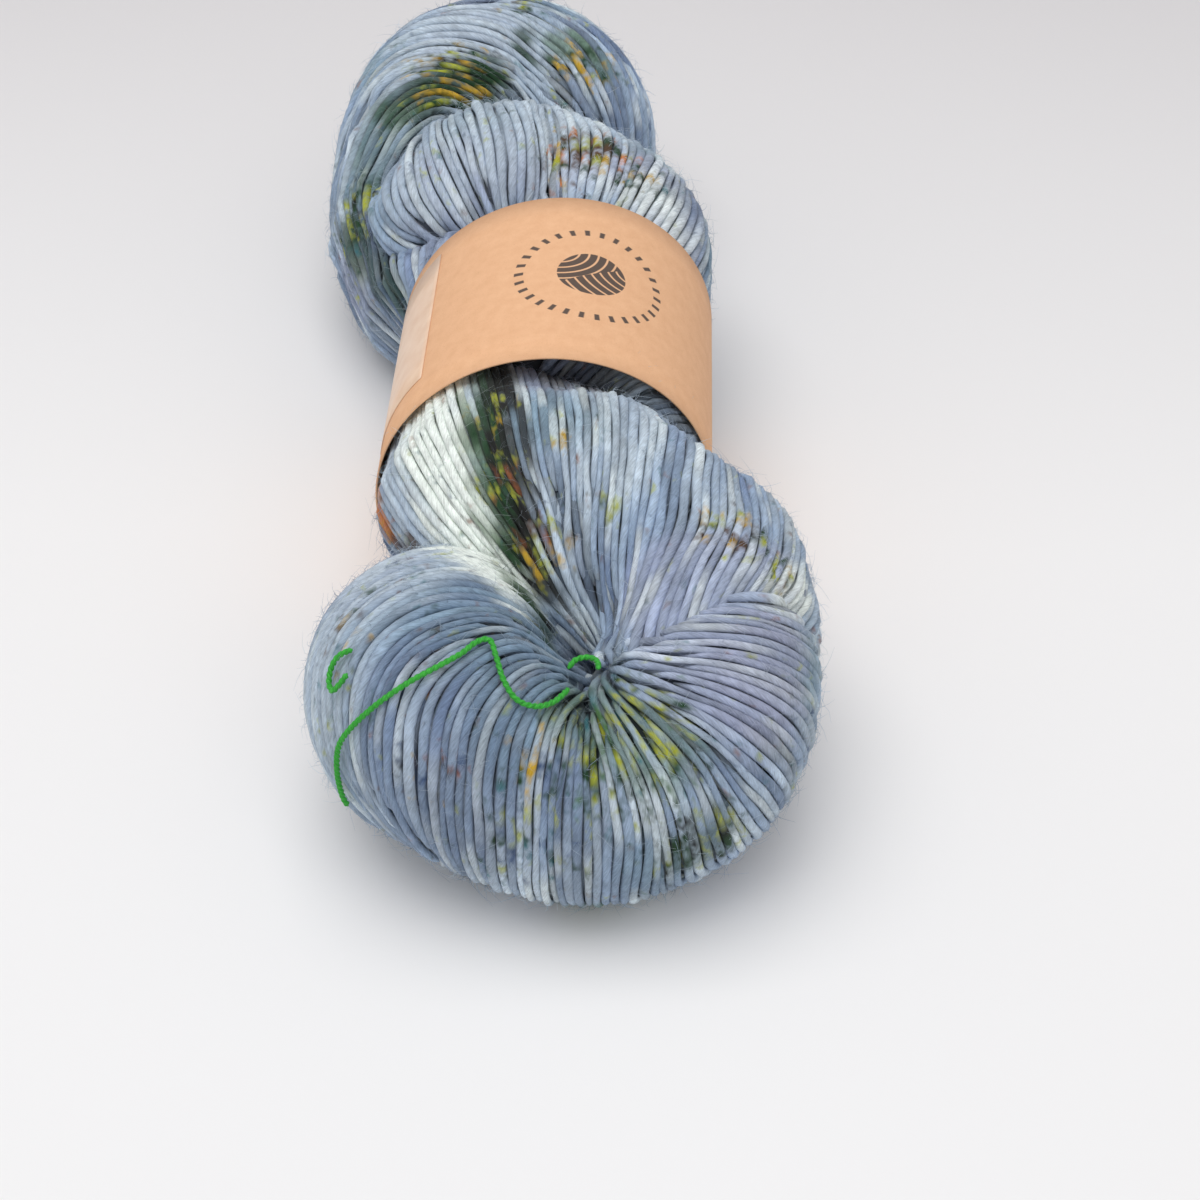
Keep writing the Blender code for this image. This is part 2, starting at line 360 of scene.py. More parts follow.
def tieMaterial():
    green = newMaterial("greenThread")
    fibres = stretchedNoise(green, layOf(green, "threadLay"), *tieThread["fibres"])
    finish(green, {
        "Base Color": screenRamp(green, fibres, tieThread["shades"]),
        "Roughness": tieThread["roughness"], "Sheen Weight": tieThread["sheen"],
    }, fibres, tieThread["fibreBump"], tieThread["fibreDepth"])
    return green


def makeTie():
    green = tieMaterial()
    for name, rows in tieRoutes.items():
        run = runThrough(np.array(rows) / 1000, tieThread["steps"], False) + skeinShift
        travelled = travelOf(run)
        stops = np.linspace(0, travelled[-1], round(travelled[-1] / tieThread["spacing"]) + 1)
        points = respaced(run, travelled, stops)
        toEnd = np.minimum(stops, stops[-1] - stops)
        ends = np.clip(toEnd / tieThread["endTaper"], tieThread["endRadius"], 1)
        thread = {
            "points": points, "out": np.tile(tieThread["out"], (len(points), 1)), "along": stops,
            "twist": math.pi * stops / tieThread["plyLength"] * 2, "radius": tieThread["diameter"] / 2 * ends,
        }
        mesh = threadsMesh(name + "Thread", [thread], tieThread["sides"], tieThread["lobes"])
        piece = newPiece(name.replace("tie_", "tieThread_"), mesh, green, name)
        if name == "tie_tail":
            print("tie tail", round(float(travelled[-1]) * 1000, 1), "mm")


makeTie()
print("tie laid")


# ---- the strand: part.py's table of its centre and half sizes
strandRows = [
    (12, -96.5, 19.2, 20, 20), (27, -90, 26, 21, 24), (32, -75, 31, 20, 26), (28, -56, 35, 21, 23),
    (8, -45, 41, 29, 21), (-12, -26, 34, 24, 25), (-15, -8, 27, 19, 24), (-1, 8, 18.5, 27, 18),
    (11, 30, 28, 19, 23), (12, 46, 36, 21, 22), (2, 59, 40, 25, 18), (-14, 63, 40, 27, 22),
    (-25, 58, 30, 18, 23), (-22, 76, 19, 16, 18), (-4, 96, 18.5, 19, 19), (2, 108, 29, 17, 25),
    (-10, 121, 29, 24, 29.6), (-27, 116, 29, 28, 29.6), (-36, 100, 28, 21, 27), (-39, 78, 24, 17, 22.5),
    (-33, 56, 22, 15, 20), (-16, 30, 29, 18, 22), (-1, 6, 45, 27, 18), (15, -18, 34, 18, 24),
    (16, -34, 24, 20, 22), (6, -52, 17.5, 22, 18), (-11, -68, 24, 22, 22), (-16, -85, 30, 23, 26),
    (-5, -94.5, 25, 20, 23),
]
bandShape = {
    "length": 0.056, "middle": -0.002, "skew": 0.10, "radius": 0.0325, "wall": 0.001, "height": 0.0321,
    "seamStart": 300, "seamOverlap": 24, "seamRise": 12, "paperGap": 0.0004,
    "squeezeReach": 0.030, "squeezeFlare": 27.0,
}


def alongBand(points):
    return points[:, 1] - bandShape["middle"] - bandShape["skew"] * points[:, 0]


def squeezed(points, inset):
    # the band draws the yarn in, and the floor holds it up, with its own thickness allowed for
    pastEdge = np.maximum(0.0, np.abs(alongBand(points)) - bandShape["length"] / 2 - bandShape["wall"])
    limit = (bandShape["radius"] - bandShape["wall"] - bandShape["paperGap"]
             + bandShape["squeezeFlare"] * pastEdge ** 2 - inset)
    limit = np.where(pastEdge > bandShape["squeezeReach"], 1.0, limit)
    axis = np.column_stack((np.zeros(len(points)), points[:, 1], np.full(len(points), bandShape["height"])))
    away = points - axis
    length = np.linalg.norm(away, axis=1)
    moved = axis + away * np.minimum(1.0, limit / np.maximum(length, 1e-9))[:, None]
    lowest = np.where(pastEdge == 0, bandShape["wall"] + bandShape["paperGap"], 0.0) + inset
    moved[:, 2] = np.maximum(moved[:, 2], lowest)
    return moved


yarnLay = {
    "sections": 14,           # of the strand from one row to the next
    "turns": 72,              # places round the strand
    "pitch": 0.00134,         # the least room between two yarns where one starts
    "closest": 0.00084,       # a yarn dips under when it comes nearer than this to another
    "step": 0.00115,
    "longest": 260,           # steps to either side of where a yarn starts
    "ownSteps": 10,           # a yarn may be this many steps near itself
    "startRoom": 0.97,        # of a pitch, that has to be free where a yarn starts
    "underWider": (1.15, 1.2, 1.2),   # the second layer's pitch, closest and step beside the first's
    "radius": (0.00052, 0.00094), "fullness": 0.51,   # of the room between its neighbours
    "roomMost": 2.6,          # pitches to a neighbour, at most
    "neighbours": 14, "roomBlur": 3,
    "uneven": 0.14, "unevenSize": 0.006,              # a yarn's thick and thin places
    "sink": 0.00090,          # of a yarn's middle under the strand's surface
    "under": 0.00112,         # how much deeper the second layer lies
    "underPaintedShade": 0.58,       # painted shade: how much darker its dye is, as it lies deeper
    "wander": 0.00026, "wanderSize": 0.0065,          # of a yarn to either side
    "centring": 0.30,         # how far it moves towards the wider gap
    "lift": 0.00042, "liftSize": 0.014,               # of a yarn above or below its neighbours
    "overFloor": 1.14,        # of its largest radius, a yarn's middle above the floor
    "buried": 0.0034,         # deeper than this in another stretch of the strand, no yarn is laid
    "ownReach": 0.040,        # a stretch this near along the strand isn't another one
    "hiddenInBand": 0.013,    # past the band's edge, yarns are still laid for this much
    "shortest": 0.009,
    "dipLength": 0.0055, "dipDepth": 0.0016,          # where a yarn ends
    "taper": (0.45, 0.005),   # a yarn's radius at its ends, and the length in which it grows full
    "guideReach": 0.0095,
    "leanWeight": 0.03,       # of the patch's own lean beside the guides
    "waver": 5.0, "waverSize": 0.011,   # degrees by which yarns stray from the lay, and over what length
    "fastest": 4000,          # grid places a metre, where the grid is tight
}
# where the near turn lies over the upper lobe, seen from above: a line, and how far past it each one goes on;
# of the near turn only the rows before endRows end there
crease = {
    "at": (0.0165, -0.0925), "slope": 0.465, "endRows": 8,
    "nearPast": 0.0004, "nearMore": 0.012, "nearMoreAcross": (0.022, 0.014), "lobePast": -0.0050,
}
# how far the yarns dip, and from where to where: at the crease, at the band's edge, along the crown's valley
dips = {
    "crease": (0.0030, 0.0065, -0.0030), "creaseFrom": 0.012,
    "bandEdge": (0.0022, 0.0060, 0.0005), "bandEdgeAcross": (-0.014, 0.006),
    "valley": (0.0028, 0.0060, 0.0002), "coreValley": (0.0050, 0.0100, 0.0015),
}
crownValley = [
    (-3, 40, 52.5), (-3.6, 48, 56), (-4.4, 56, 59), (-5.4, 65, 60.2), (-6.4, 72, 59),
]

# which way the yarns lie: for each part of the strand its rows, how many degrees they lean from its run where
# nothing says more, and guide lines that they follow; a part that bends sharply also has a spine and planes.
# These lines and the dyes' places below are in millimetres; they and the crease are from before skeinShift
yarnPatches = {
    "yarnNearTurn": {
        "rows": (22.3, 32.2), "lean": 80,
        "guides": [
            [(12.8, -87.9, 44.1), (5.4, -80.1, 46)], [(5.4, -78.1, 47), (-8.1, -78.8, 53),
            (-21.3, -82, 54.9), (-30.4, -87.9, 49.6), (-35.1, -93.5, 39.5), (-31.8, -101.8, 31.1)],
            [(8.2, -84, 44), (-4, -88.3, 52), (-15, -95.5, 53.6), (-22.1, -104.7, 43.9),
            (-19.9, -110, 30.4)], [(7.9, -91.2, 43.6), (-0.3, -94.8, 49), (-7.9, -106.8, 44.2),
            (-7.9, -114, 27.8)], [(8.9, -96.2, 43.6), (2.9, -108.7, 39.4), (1.3, -115.9, 22.8)],
            [(11.7, -94, 44), (12.7, -107.9, 36.7), (13, -116.1, 18.5)], [(13.9, -93.7, 44.9),
            (21.8, -106.8, 40.6), (24.7, -114, 24.2)], [(17.3, -96.4, 46.5), (30, -105.6, 42),
            (38, -107.7, 27.7)], [(17.2, -94, 47), (33, -94.9, 50.1), (49, -89.3, 36)],
            [(19.7, -92.7, 48.8), (34.6, -87.3, 53.5), (50, -76.3, 41.7)], [(19.9, -97.9, 46.9),
            (36.5, -99.9, 44.8), (47.6, -95.8, 28)],
        ],
    },
    "yarnUpperLobe": {
        "rows": (0.9, 7.6), "lean": 8, "planes": 64, "rounded": False,
        "spine": [
            (-14, -6, 33), (-26, 0, 33), (-42, 8, 33), (-60, 17, 30), (-78, 21, 27), (-96, 21, 24),
        ],
        "guides": [
            [(-29.1, -29.4, 43.1), (-30.3, -41.6, 39.4)], [(-26.1, -30.8, 49), (-21.7, -50.4, 49.1),
            (-13.5, -66.8, 50.1), (0.4, -78.6, 46.9)], [(-18.7, -35.2, 57.2), (-13.1, -54.3, 54.7),
            (-1.7, -72.2, 49.2)], [(-11.5, -35.2, 59.6), (-6.5, -54.9, 57.7), (3.6, -74, 46.4)],
            [(-3.9, -33, 60.5), (-0.8, -54.2, 59.6), (7.7, -75.9, 41.2)], [(4.4, -32.8, 60.6),
            (6.4, -57.1, 59.8), (10.4, -78.8, 39.1)], [(11.9, -35.5, 60.5), (12.6, -57, 59.9),
            (12.2, -85.7, 43.3)], [(19.3, -36.5, 58.4), (18.9, -62.1, 57.4), (14.1, -84.5, 44.5)],
            [(26.8, -38, 53), (26, -63.8, 56.8), (17.6, -88.3, 48.1)], [(33.3, -45, 55),
            (33.3, -63.6, 56.8), (22.1, -87.9, 51.3)], [(37.5, -52.8, 55.1), (38.5, -67.4, 55.6),
            (28.7, -85.9, 54.3)], [(44.7, -61.3, 50.7), (43.4, -72.8, 52.3), (36.3, -84.4, 54.3)],
            [(49.1, -64.4, 44.2), (44.2, -79.4, 50.5)],
        ],
    },
    "yarnFarCrown": {
        "rows": (6.9, 12.7), "lean": 45, "coarse": 1.22,
        "guides": [
            [(-28.4, 30.6, 44.9), (-35.1, 43.3, 42.9), (-38.2, 48.2, 47.3), (-38.4, 60, 49)],
            [(-30, 32, 36), (-38, 46, 36)], [(-30, 36, 48.5), (-35, 50, 50), (-36.5, 64, 50.5)],
            [(-36.3, 50.8, 50.5), (-38.4, 62, 50)], [(-30.3, 47.7, 52.5), (-33.9, 62, 54)],
            [(-26.2, 48.7, 54.9), (-30, 63, 57)], [(-23.6, 49.5, 56.2), (-26.8, 64, 58)],
            [(-17.7, 45.5, 55.5), (-21.5, 64, 60)], [(-12.4, 46.3, 56.7), (-16.5, 66, 61)],
            [(-6.8, 43.9, 54.1), (-12, 66, 60.6)], [(-3.4, 43.6, 53.8), (-6.6, 65.2, 60.7)],
            [(-2.3, 43.5, 53.9), (1.1, 67.8, 58.5)], [(5.3, 40.4, 55.5), (7, 69.3, 56.3)],
            [(10.8, 37.6, 55.8), (13.9, 66, 54.8)], [(17.2, 34.4, 54.5), (21.8, 50.9, 54.9)],
            [(22.5, 32.2, 51.2), (26.9, 44.4, 51.1)], [(26.2, 31.9, 47.3), (29.5, 43.9, 47.5)],
            [(29.5, 32, 40.6), (31.6, 42.1, 41.4)],
        ],
    },
    "yarnFarTurn": {
        "rows": (12.5, 22.8), "lean": 55, "coarse": 1.32, "planes": 100, "rounded": True,
        "spine": [
            (13, -5, 39), (30, -16, 29), (45, -26, 25), (56, -33, 23), (70, -37, 23), (79, -33, 23),
            (89, -25, 24), (100, -19, 26), (121, -16, 29), (145.8, -13.5, 29),
        ],
        "guides": [
            [(-55.1, 79.9, 32.8), (-53.7, 89.8, 40.3), (-48.4, 93.9, 48.5), (-41.5, 99.5, 53.9)],
            [(-49.6, 70.4, 38.7), (-47.4, 78.5, 44.3), (-41.4, 85.8, 50), (-34.1, 92.2, 52.8)],
            [(-43.6, 70.8, 43.8), (-40, 82.1, 48.9)], [(-42.6, 98.3, 53.2), (-34, 102.3, 55.8),
            (-25, 102.5, 54.6), (-14.8, 101.7, 50.4)], [(-39.3, 110.7, 55.7), (-30.1, 108.7, 57.2),
            (-20.8, 105.8, 55.2), (-13, 103.5, 51.5)], [(-32.5, 118, 57.5), (-23.3, 115.7, 58.6),
            (-13.1, 110.9, 56.1)], [(-22, 102.9, 54), (-6, 97.7, 47.8)], [(-15.4, 109.8, 56.1),
            (-3.1, 96.8, 49.1)], [(-10.2, 113.9, 56.6), (1.1, 95.6, 49.9)], [(-4.8, 114.2, 56.6),
            (3.9, 95.6, 49.9)], [(1, 111.1, 55.7), (7.6, 96.2, 48.9)], [(6.6, 105.9, 53.4),
            (11.3, 97.2, 46.6)], [(10.5, 105.9, 50.9), (15.5, 99.8, 41.3)], [(-36.9, 38.6, 23.9),
            (-42.8, 46.3, 31.8), (-49, 62.8, 34.2)], [(-37.9, 39, 32.8), (-43.7, 53.2, 36.5),
            (-46.3, 66.2, 40)],
        ],
    },
}


def strandSections():
    # the run's centre and half sizes, then its level, leaning and travelling directions
    run = runThrough(np.array(strandRows) / 1000, yarnLay["sections"], True)
    ahead = unit(np.roll(run[:, :3], -1, axis=0) - np.roll(run[:, :3], 1, axis=0))
    across = unit(np.cross(ahead, (0, 0, 1)))
    return np.column_stack((run, across, np.cross(across, ahead), ahead))


def buriedDepth(points, row, sections):
    # how deep each point lies inside another stretch of the strand
    centres, wide, high = sections[:, :3], sections[:, 3], sections[:, 4]
    across, up, ahead = sections[:, 5:8], sections[:, 8:11], sections[:, 11:14]
    spacing = np.linalg.norm(np.roll(centres, -1, axis=0) - centres, axis=1)
    travelled = np.cumsum(spacing)
    deepest = np.zeros(len(points))
    atOnce, slab = 3000, 0.003
    for start in range(0, len(points), atOnce):
        chunk = slice(start, start + atOnce)
        away = points[chunk][:, None, :] - centres[None]
        near = np.abs(np.sum(away * ahead[None], axis=2)) < slab
        apart = np.abs(travelled[row[chunk]][:, None] - travelled[None])
        near &= np.minimum(apart, travelled[-1] - apart) > yarnLay["ownReach"]
        level, leaning = (np.sum(away * way[None], axis=2) for way in (across, up))
        share = np.sqrt((level / wide) ** 2 + (leaning / high) ** 2)
        deepest[chunk] = np.where(near, (1 - share) * np.minimum(wide, high), 0).max(axis=1)
    return deepest


spineGrid = {"tubeSides": 40, "start": 0.12, "least": 0.002, "blurAcross": 2, "blurAlong": 3, "passes": 2}


def acrossSpine(patch, sections, inset):
    # where the strand bends sharply its own sections cross, so there the outermost surface is measured in
    # planes across the skein, from a spine inside it, and its folds are spanned
    first, last = (round(row * yarnLay["sections"]) for row in patch["rows"])
    chosen, sides = sections[first:last + 1], spineGrid["tubeSides"]
    turn = 2 * math.pi * np.arange(sides) / sides
    tube = (chosen[:, None, :3] + chosen[:, None, 5:8] * (chosen[:, None, 3:4] * np.cos(turn)[None, :, None])
            + chosen[:, None, 8:11] * (chosen[:, None, 4:5] * np.sin(turn)[None, :, None]))
    faces = []
    for i, j in itertools.product(range(len(chosen) - 1), range(sides)):
        here, ahead, following = i * sides, (i + 1) * sides, (j + 1) % sides
        faces.append((here + j, ahead + j, ahead + following, here + following))
    tree = BVHTree.FromPolygons(tube.reshape(-1, 3).tolist(), faces)
    spine = np.array(patch["spine"]) / 1000
    share = np.linspace(0, 1, patch["planes"])
    if patch["rounded"]:
        share = np.sin(share * math.pi / 2)
    y = spine[0, 0] + (spine[-1, 0] - spine[0, 0]) * share
    spine = spine[np.argsort(spine[:, 0])]
    x, z = (np.interp(y, spine[:, 0], spine[:, k]) for k in (1, 2))
    axis = np.column_stack((x, y, z))
    theta = 2 * math.pi * np.arange(yarnLay["turns"]) / yarnLay["turns"]
    ways = np.column_stack((np.cos(theta), np.zeros(len(theta)), np.sin(theta)))
    reach = np.full((len(axis), len(ways)), spineGrid["least"])
    row = np.full(reach.shape, first)
    start = spineGrid["start"]
    for (i, middle), (j, way) in itertools.product(enumerate(axis), enumerate(ways)):
        _, _, index, distance = tree.ray_cast(middle + way * start, -way, start)
        if index is not None:
            reach[i, j], row[i, j] = start - distance, first + index // sides
    found = reach > spineGrid["least"]
    found[:2], found[-1:] = False, False
    spread = reach
    across, along = spineGrid["blurAcross"], spineGrid["blurAlong"]
    for _ in range(spineGrid["passes"]):
        spread = np.mean([np.roll(spread, k, axis=1) for k in range(-across, across + 1)], axis=0)
        padded = np.pad(spread, ((along, along), (0, 0)), mode="edge")
        spread = np.mean([padded[k:k + len(spread)] for k in range(2 * along + 1)], axis=0)
    reach = np.maximum(reach, spread)
    raw = axis[:, None] + ways[None] * (reach - inset)[:, :, None]
    return raw.reshape(-1, 3), row.ravel(), found.ravel(), np.broadcast_to(ways[None], raw.shape)


def dipAt(name, distance):
    most, start, full = dips[name]
    return most * smoothStep(start, full, distance)


def guideStretches(patch):
    # a patch's guide lines as stretches from one point to the next, in metres
    return np.array([start + stop for line in patch["guides"] for start, stop in zip(line, line[1:])]) / 1000


def guidedLay(patch, places, normal, rowStep, turnStep, inside, seed):
    # the way the yarns lie at each place: the patch's own lean, the guides around, and a slight waver
    lean = math.radians(patch["lean"])
    lay = (math.cos(lean) * unit(rowStep) - math.sin(lean) * unit(turnStep)) * yarnLay["leanWeight"]
    ends = guideStretches(patch) + np.tile(skeinShift, 2)
    for start, stop in zip(ends[:, :3], ends[:, 3:]):
        heading = (stop - start) / np.linalg.norm(stop - start)
        distance = np.linalg.norm(places - (start + stop) / 2, axis=1)
        facing = normal[np.argmin(np.where(inside, distance, 1.0))]
        near = np.exp(-0.5 * (distance / yarnLay["guideReach"]) ** 2)
        lay = lay + (near * np.clip(normal @ facing, 0, 1) ** 2)[:, None] * heading
    lay = unit(lay - normal * np.sum(lay * normal, axis=1, keepdims=True))
    stray = np.radians(yarnLay["waver"]) * 2 * (2 * softNoise(places, yarnLay["waverSize"], seed) - 1)
    return lay * np.cos(stray)[:, None] + np.cross(normal, lay) * np.sin(stray)[:, None]


def gridMoves(lay, normal, rowStep, turnStep):
    # how many rows and turns a metre along the lay goes, and a metre beside it
    a, b, c = np.sum(rowStep ** 2, axis=1), np.sum(rowStep * turnStep, axis=1), np.sum(turnStep ** 2, axis=1)
    scale = np.maximum(a * c - b * b, 1e-18)
    moves = []
    for way in (lay, np.cross(normal, lay)):
        p, q = np.sum(way * rowStep, axis=1), np.sum(way * turnStep, axis=1)
        moves += [(c * p - b * q) / scale, (a * q - b * p) / scale]
    return np.clip(moves, -yarnLay["fastest"], yarnLay["fastest"])


def aroundStrand(patch, sections, inset):
    # the strand's own surface, where its sections don't cross
    turns = yarnLay["turns"]
    theta = 2 * math.pi * np.arange(turns) / turns
    cos, sin = np.cos(theta)[None, :, None], np.sin(theta)[None, :, None]
    centre, wide, high = sections[:, None, :3], sections[:, None, 3:4], sections[:, None, 4:5]
    across, up = sections[:, None, 5:8], sections[:, None, 8:11]
    out = unit(across * cos / wide + up * sin / high)
    raw = (centre + across * wide * cos + up * high * sin - out * inset).reshape(-1, 3)
    row = np.repeat(np.arange(len(sections)), turns)
    first, last = patch["rows"]
    rows, wrapped = row / yarnLay["sections"], row / yarnLay["sections"] + len(strandRows)
    inside = ((rows >= first) & (rows <= last)) | ((wrapped >= first) & (wrapped <= last))
    return raw, row, inside, out


def patchGrid(patch, sections, layer, seed):
    # one part of the strand as a grid, with 12 numbers for each place: where it is, its outward way, how many
    # rows and turns a metre goes along the lay and beside it, whether yarns show there, and how far they dip
    inset = (yarnLay["sink"] + layer * yarnLay["under"]) * patch.get("coarse", 1.0)
    surface = acrossSpine if "spine" in patch else aroundStrand
    raw, row, inside, out = surface(patch, sections, inset)
    depth = buriedDepth(raw, row, sections)
    places = squeezed(raw, inset)
    inBand = np.abs(alongBand(places)) < bandShape["length"] / 2 - yarnLay["hiddenInBand"]
    pastCrease = (places[:, 1] - crease["at"][1]) - crease["slope"] * (places[:, 0] - crease["at"][0])
    dip = np.zeros(len(places))
    if patch is yarnPatches["yarnNearTurn"]:
        past = crease["nearPast"] + crease["nearMore"] * smoothStep(*crease["nearMoreAcross"], places[:, 0])
        inside &= (row > crease["endRows"] * yarnLay["sections"]) | (pastCrease < past)
    if patch is yarnPatches["yarnUpperLobe"]:
        inside &= pastCrease > crease["lobePast"]
        fromEdge = -alongBand(places) - bandShape["length"] / 2
        dip = (dipAt("crease", pastCrease) * (places[:, 0] > dips["creaseFrom"])
               + dipAt("bandEdge", fromEdge) * smoothStep(*dips["bandEdgeAcross"], places[:, 0]))
    if patch is yarnPatches["yarnFarCrown"]:
        dip = dipAt("valley", distanceTo(places, crownValley))
    shown = inside & (depth < yarnLay["buried"]) & ~inBand

    grid = (places + skeinShift).reshape(-1, yarnLay["turns"], 3)
    alongRow = (np.roll(grid, -1, axis=0) - np.roll(grid, 1, axis=0)) / 2
    alongTurn = (np.roll(grid, -1, axis=1) - np.roll(grid, 1, axis=1)) / 2
    normal = unit(np.cross(alongRow, alongTurn))
    normal *= np.sign(np.sum(normal * out, axis=2, keepdims=True))
    world, normal, rowStep, turnStep = (part.reshape(-1, 3) for part in (grid, normal, alongRow, alongTurn))
    lay = guidedLay(patch, world, normal, rowStep, turnStep, inside, seed)
    moves = gridMoves(lay, normal, rowStep, turnStep)
    return np.column_stack((world, normal, *moves, shown, dip)).reshape(*grid.shape[:2], -1)


def layYarns(name, patch, sections, layer, seed):
    # yarns follow the lay side by side: one starts a pitch from a neighbour and stops where it is crowded out
    grid = patchGrid(patch, sections, layer, seed)
    count, turns = grid.shape[:2]
    coarse = patch.get("coarse", 1.0)
    wider = yarnLay["underWider"] if layer else (1, 1, 1)
    pitch, closest = yarnLay["pitch"] * coarse * wider[0], yarnLay["closest"] * coarse * wider[1]
    step = yarnLay["step"] * coarse ** 0.5 * wider[2]
    cells = {}

    def sample(i, j):
        low, left = math.floor(i), math.floor(j)
        u, v = i - low, j - left
        a, b, c, d = low % count, (low + 1) % count, left % turns, (left + 1) % turns
        return (grid[a, c] * (1 - v) + grid[a, d] * v) * (1 - u) + (grid[b, c] * (1 - v) + grid[b, d] * v) * u

    def crowded(place, least, line=-1, order=0):
        x, y, z = place
        around = [(int(v // pitch) - 1, int(v // pitch), int(v // pitch) + 1) for v in place]
        for key in itertools.product(*around):
            for px, py, pz, other, at in cells.get(key, ()):
                if other == line and abs(at - order) < yarnLay["ownSteps"]:
                    continue
                if (x - px) ** 2 + (y - py) ** 2 + (z - pz) ** 2 < least * least:
                    return True
        return False

    def trace(i, j, sign, line, order):
        found = []
        for n in range(yarnLay["longest"]):
            here = sample(i, j)
            if here[10] < 0.5 or crowded(here[:3], closest, line, order + sign * n):
                break
            found.append((i, j, here))
            cell = tuple(int(v // pitch) for v in here[:3])
            cells.setdefault(cell, []).append((*here[:3], line, order + sign * n))
            middle = sample(i + sign * step / 2 * here[6], j + sign * step / 2 * here[7])
            i, j = i + sign * step * middle[6], j + sign * step * middle[7]
        return found

    lines, waiting = [], []
    shown = np.argwhere(grid[:, :, 10] > 0.5)
    fallback = iter(shown[np.random.default_rng(seed).permutation(len(shown))])
    guides = guideStretches(patch)
    for middle in (guides[:, :3] + guides[:, 3:]) / 2 + skeinShift:
        distance = np.linalg.norm(grid[:, :, :3] - middle, axis=2) + (grid[:, :, 10] < 0.5)
        waiting.append(tuple(np.unravel_index(np.argmin(distance), distance.shape)))
    waiting.reverse()
    while True:
        start = waiting.pop() if waiting else next(fallback, None)
        if start is None:
            break
        i, j = start
        here = sample(i, j)
        if here[10] < 0.5 or crowded(here[:3], pitch * yarnLay["startRoom"]):
            continue
        line = len(lines)
        onward = trace(i, j, 1, line, 0)
        if not onward:
            continue
        first = onward[0][2]
        found = trace(i - step * first[6], j - step * first[7], -1, line, -1)[::-1] + onward
        if len(found) * step < yarnLay["shortest"]:
            lines.append(None)
            continue
        lines.append(np.array([here for _, _, here in found]))
        beside = [(i + side * pitch * here[8], j + side * pitch * here[9])
                  for i, j, here in found[1::3] for side in (1, -1)]
        waiting = beside[::-1] + waiting
    lines = [line for line in lines if line is not None]
    length = round(sum(len(line) for line in lines) * step, 1)
    print(name, "layer", layer, "with", len(lines), "yarns,", length, "m")
    return lines, step


def smoothed(values, reach):
    padded = np.pad(values, reach, mode="edge")
    return np.convolve(padded, np.ones(2 * reach + 1) / (2 * reach + 1), mode="valid")


def roomBeside(lines):
    # for each point of each yarn, how far its neighbours are on either side
    tree = KDTree(sum(len(line) for line in lines))
    owners = []
    for n, line in enumerate(lines):
        for place in line[:, :3]:
            tree.insert(place, len(owners))
            owners.append(n)
    tree.balance()
    rooms = []
    for n, line in enumerate(lines):
        places, out = line[:, :3], unit(line[:, 3:6])
        side = np.cross(out, unit(np.gradient(places, axis=0)))
        room = np.full((len(line), 2), yarnLay["roomMost"] * yarnLay["pitch"])
        for k, place in enumerate(places):
            for found, index, distance in tree.find_n(place, yarnLay["neighbours"]):
                if owners[index] == n:
                    continue
                which = 0 if (np.array(found) - place) @ side[k] > 0 else 1
                room[k, which] = min(room[k, which], distance)
        rooms.append(np.column_stack([smoothed(room[:, k], yarnLay["roomBlur"]) for k in (0, 1)]))
    return rooms
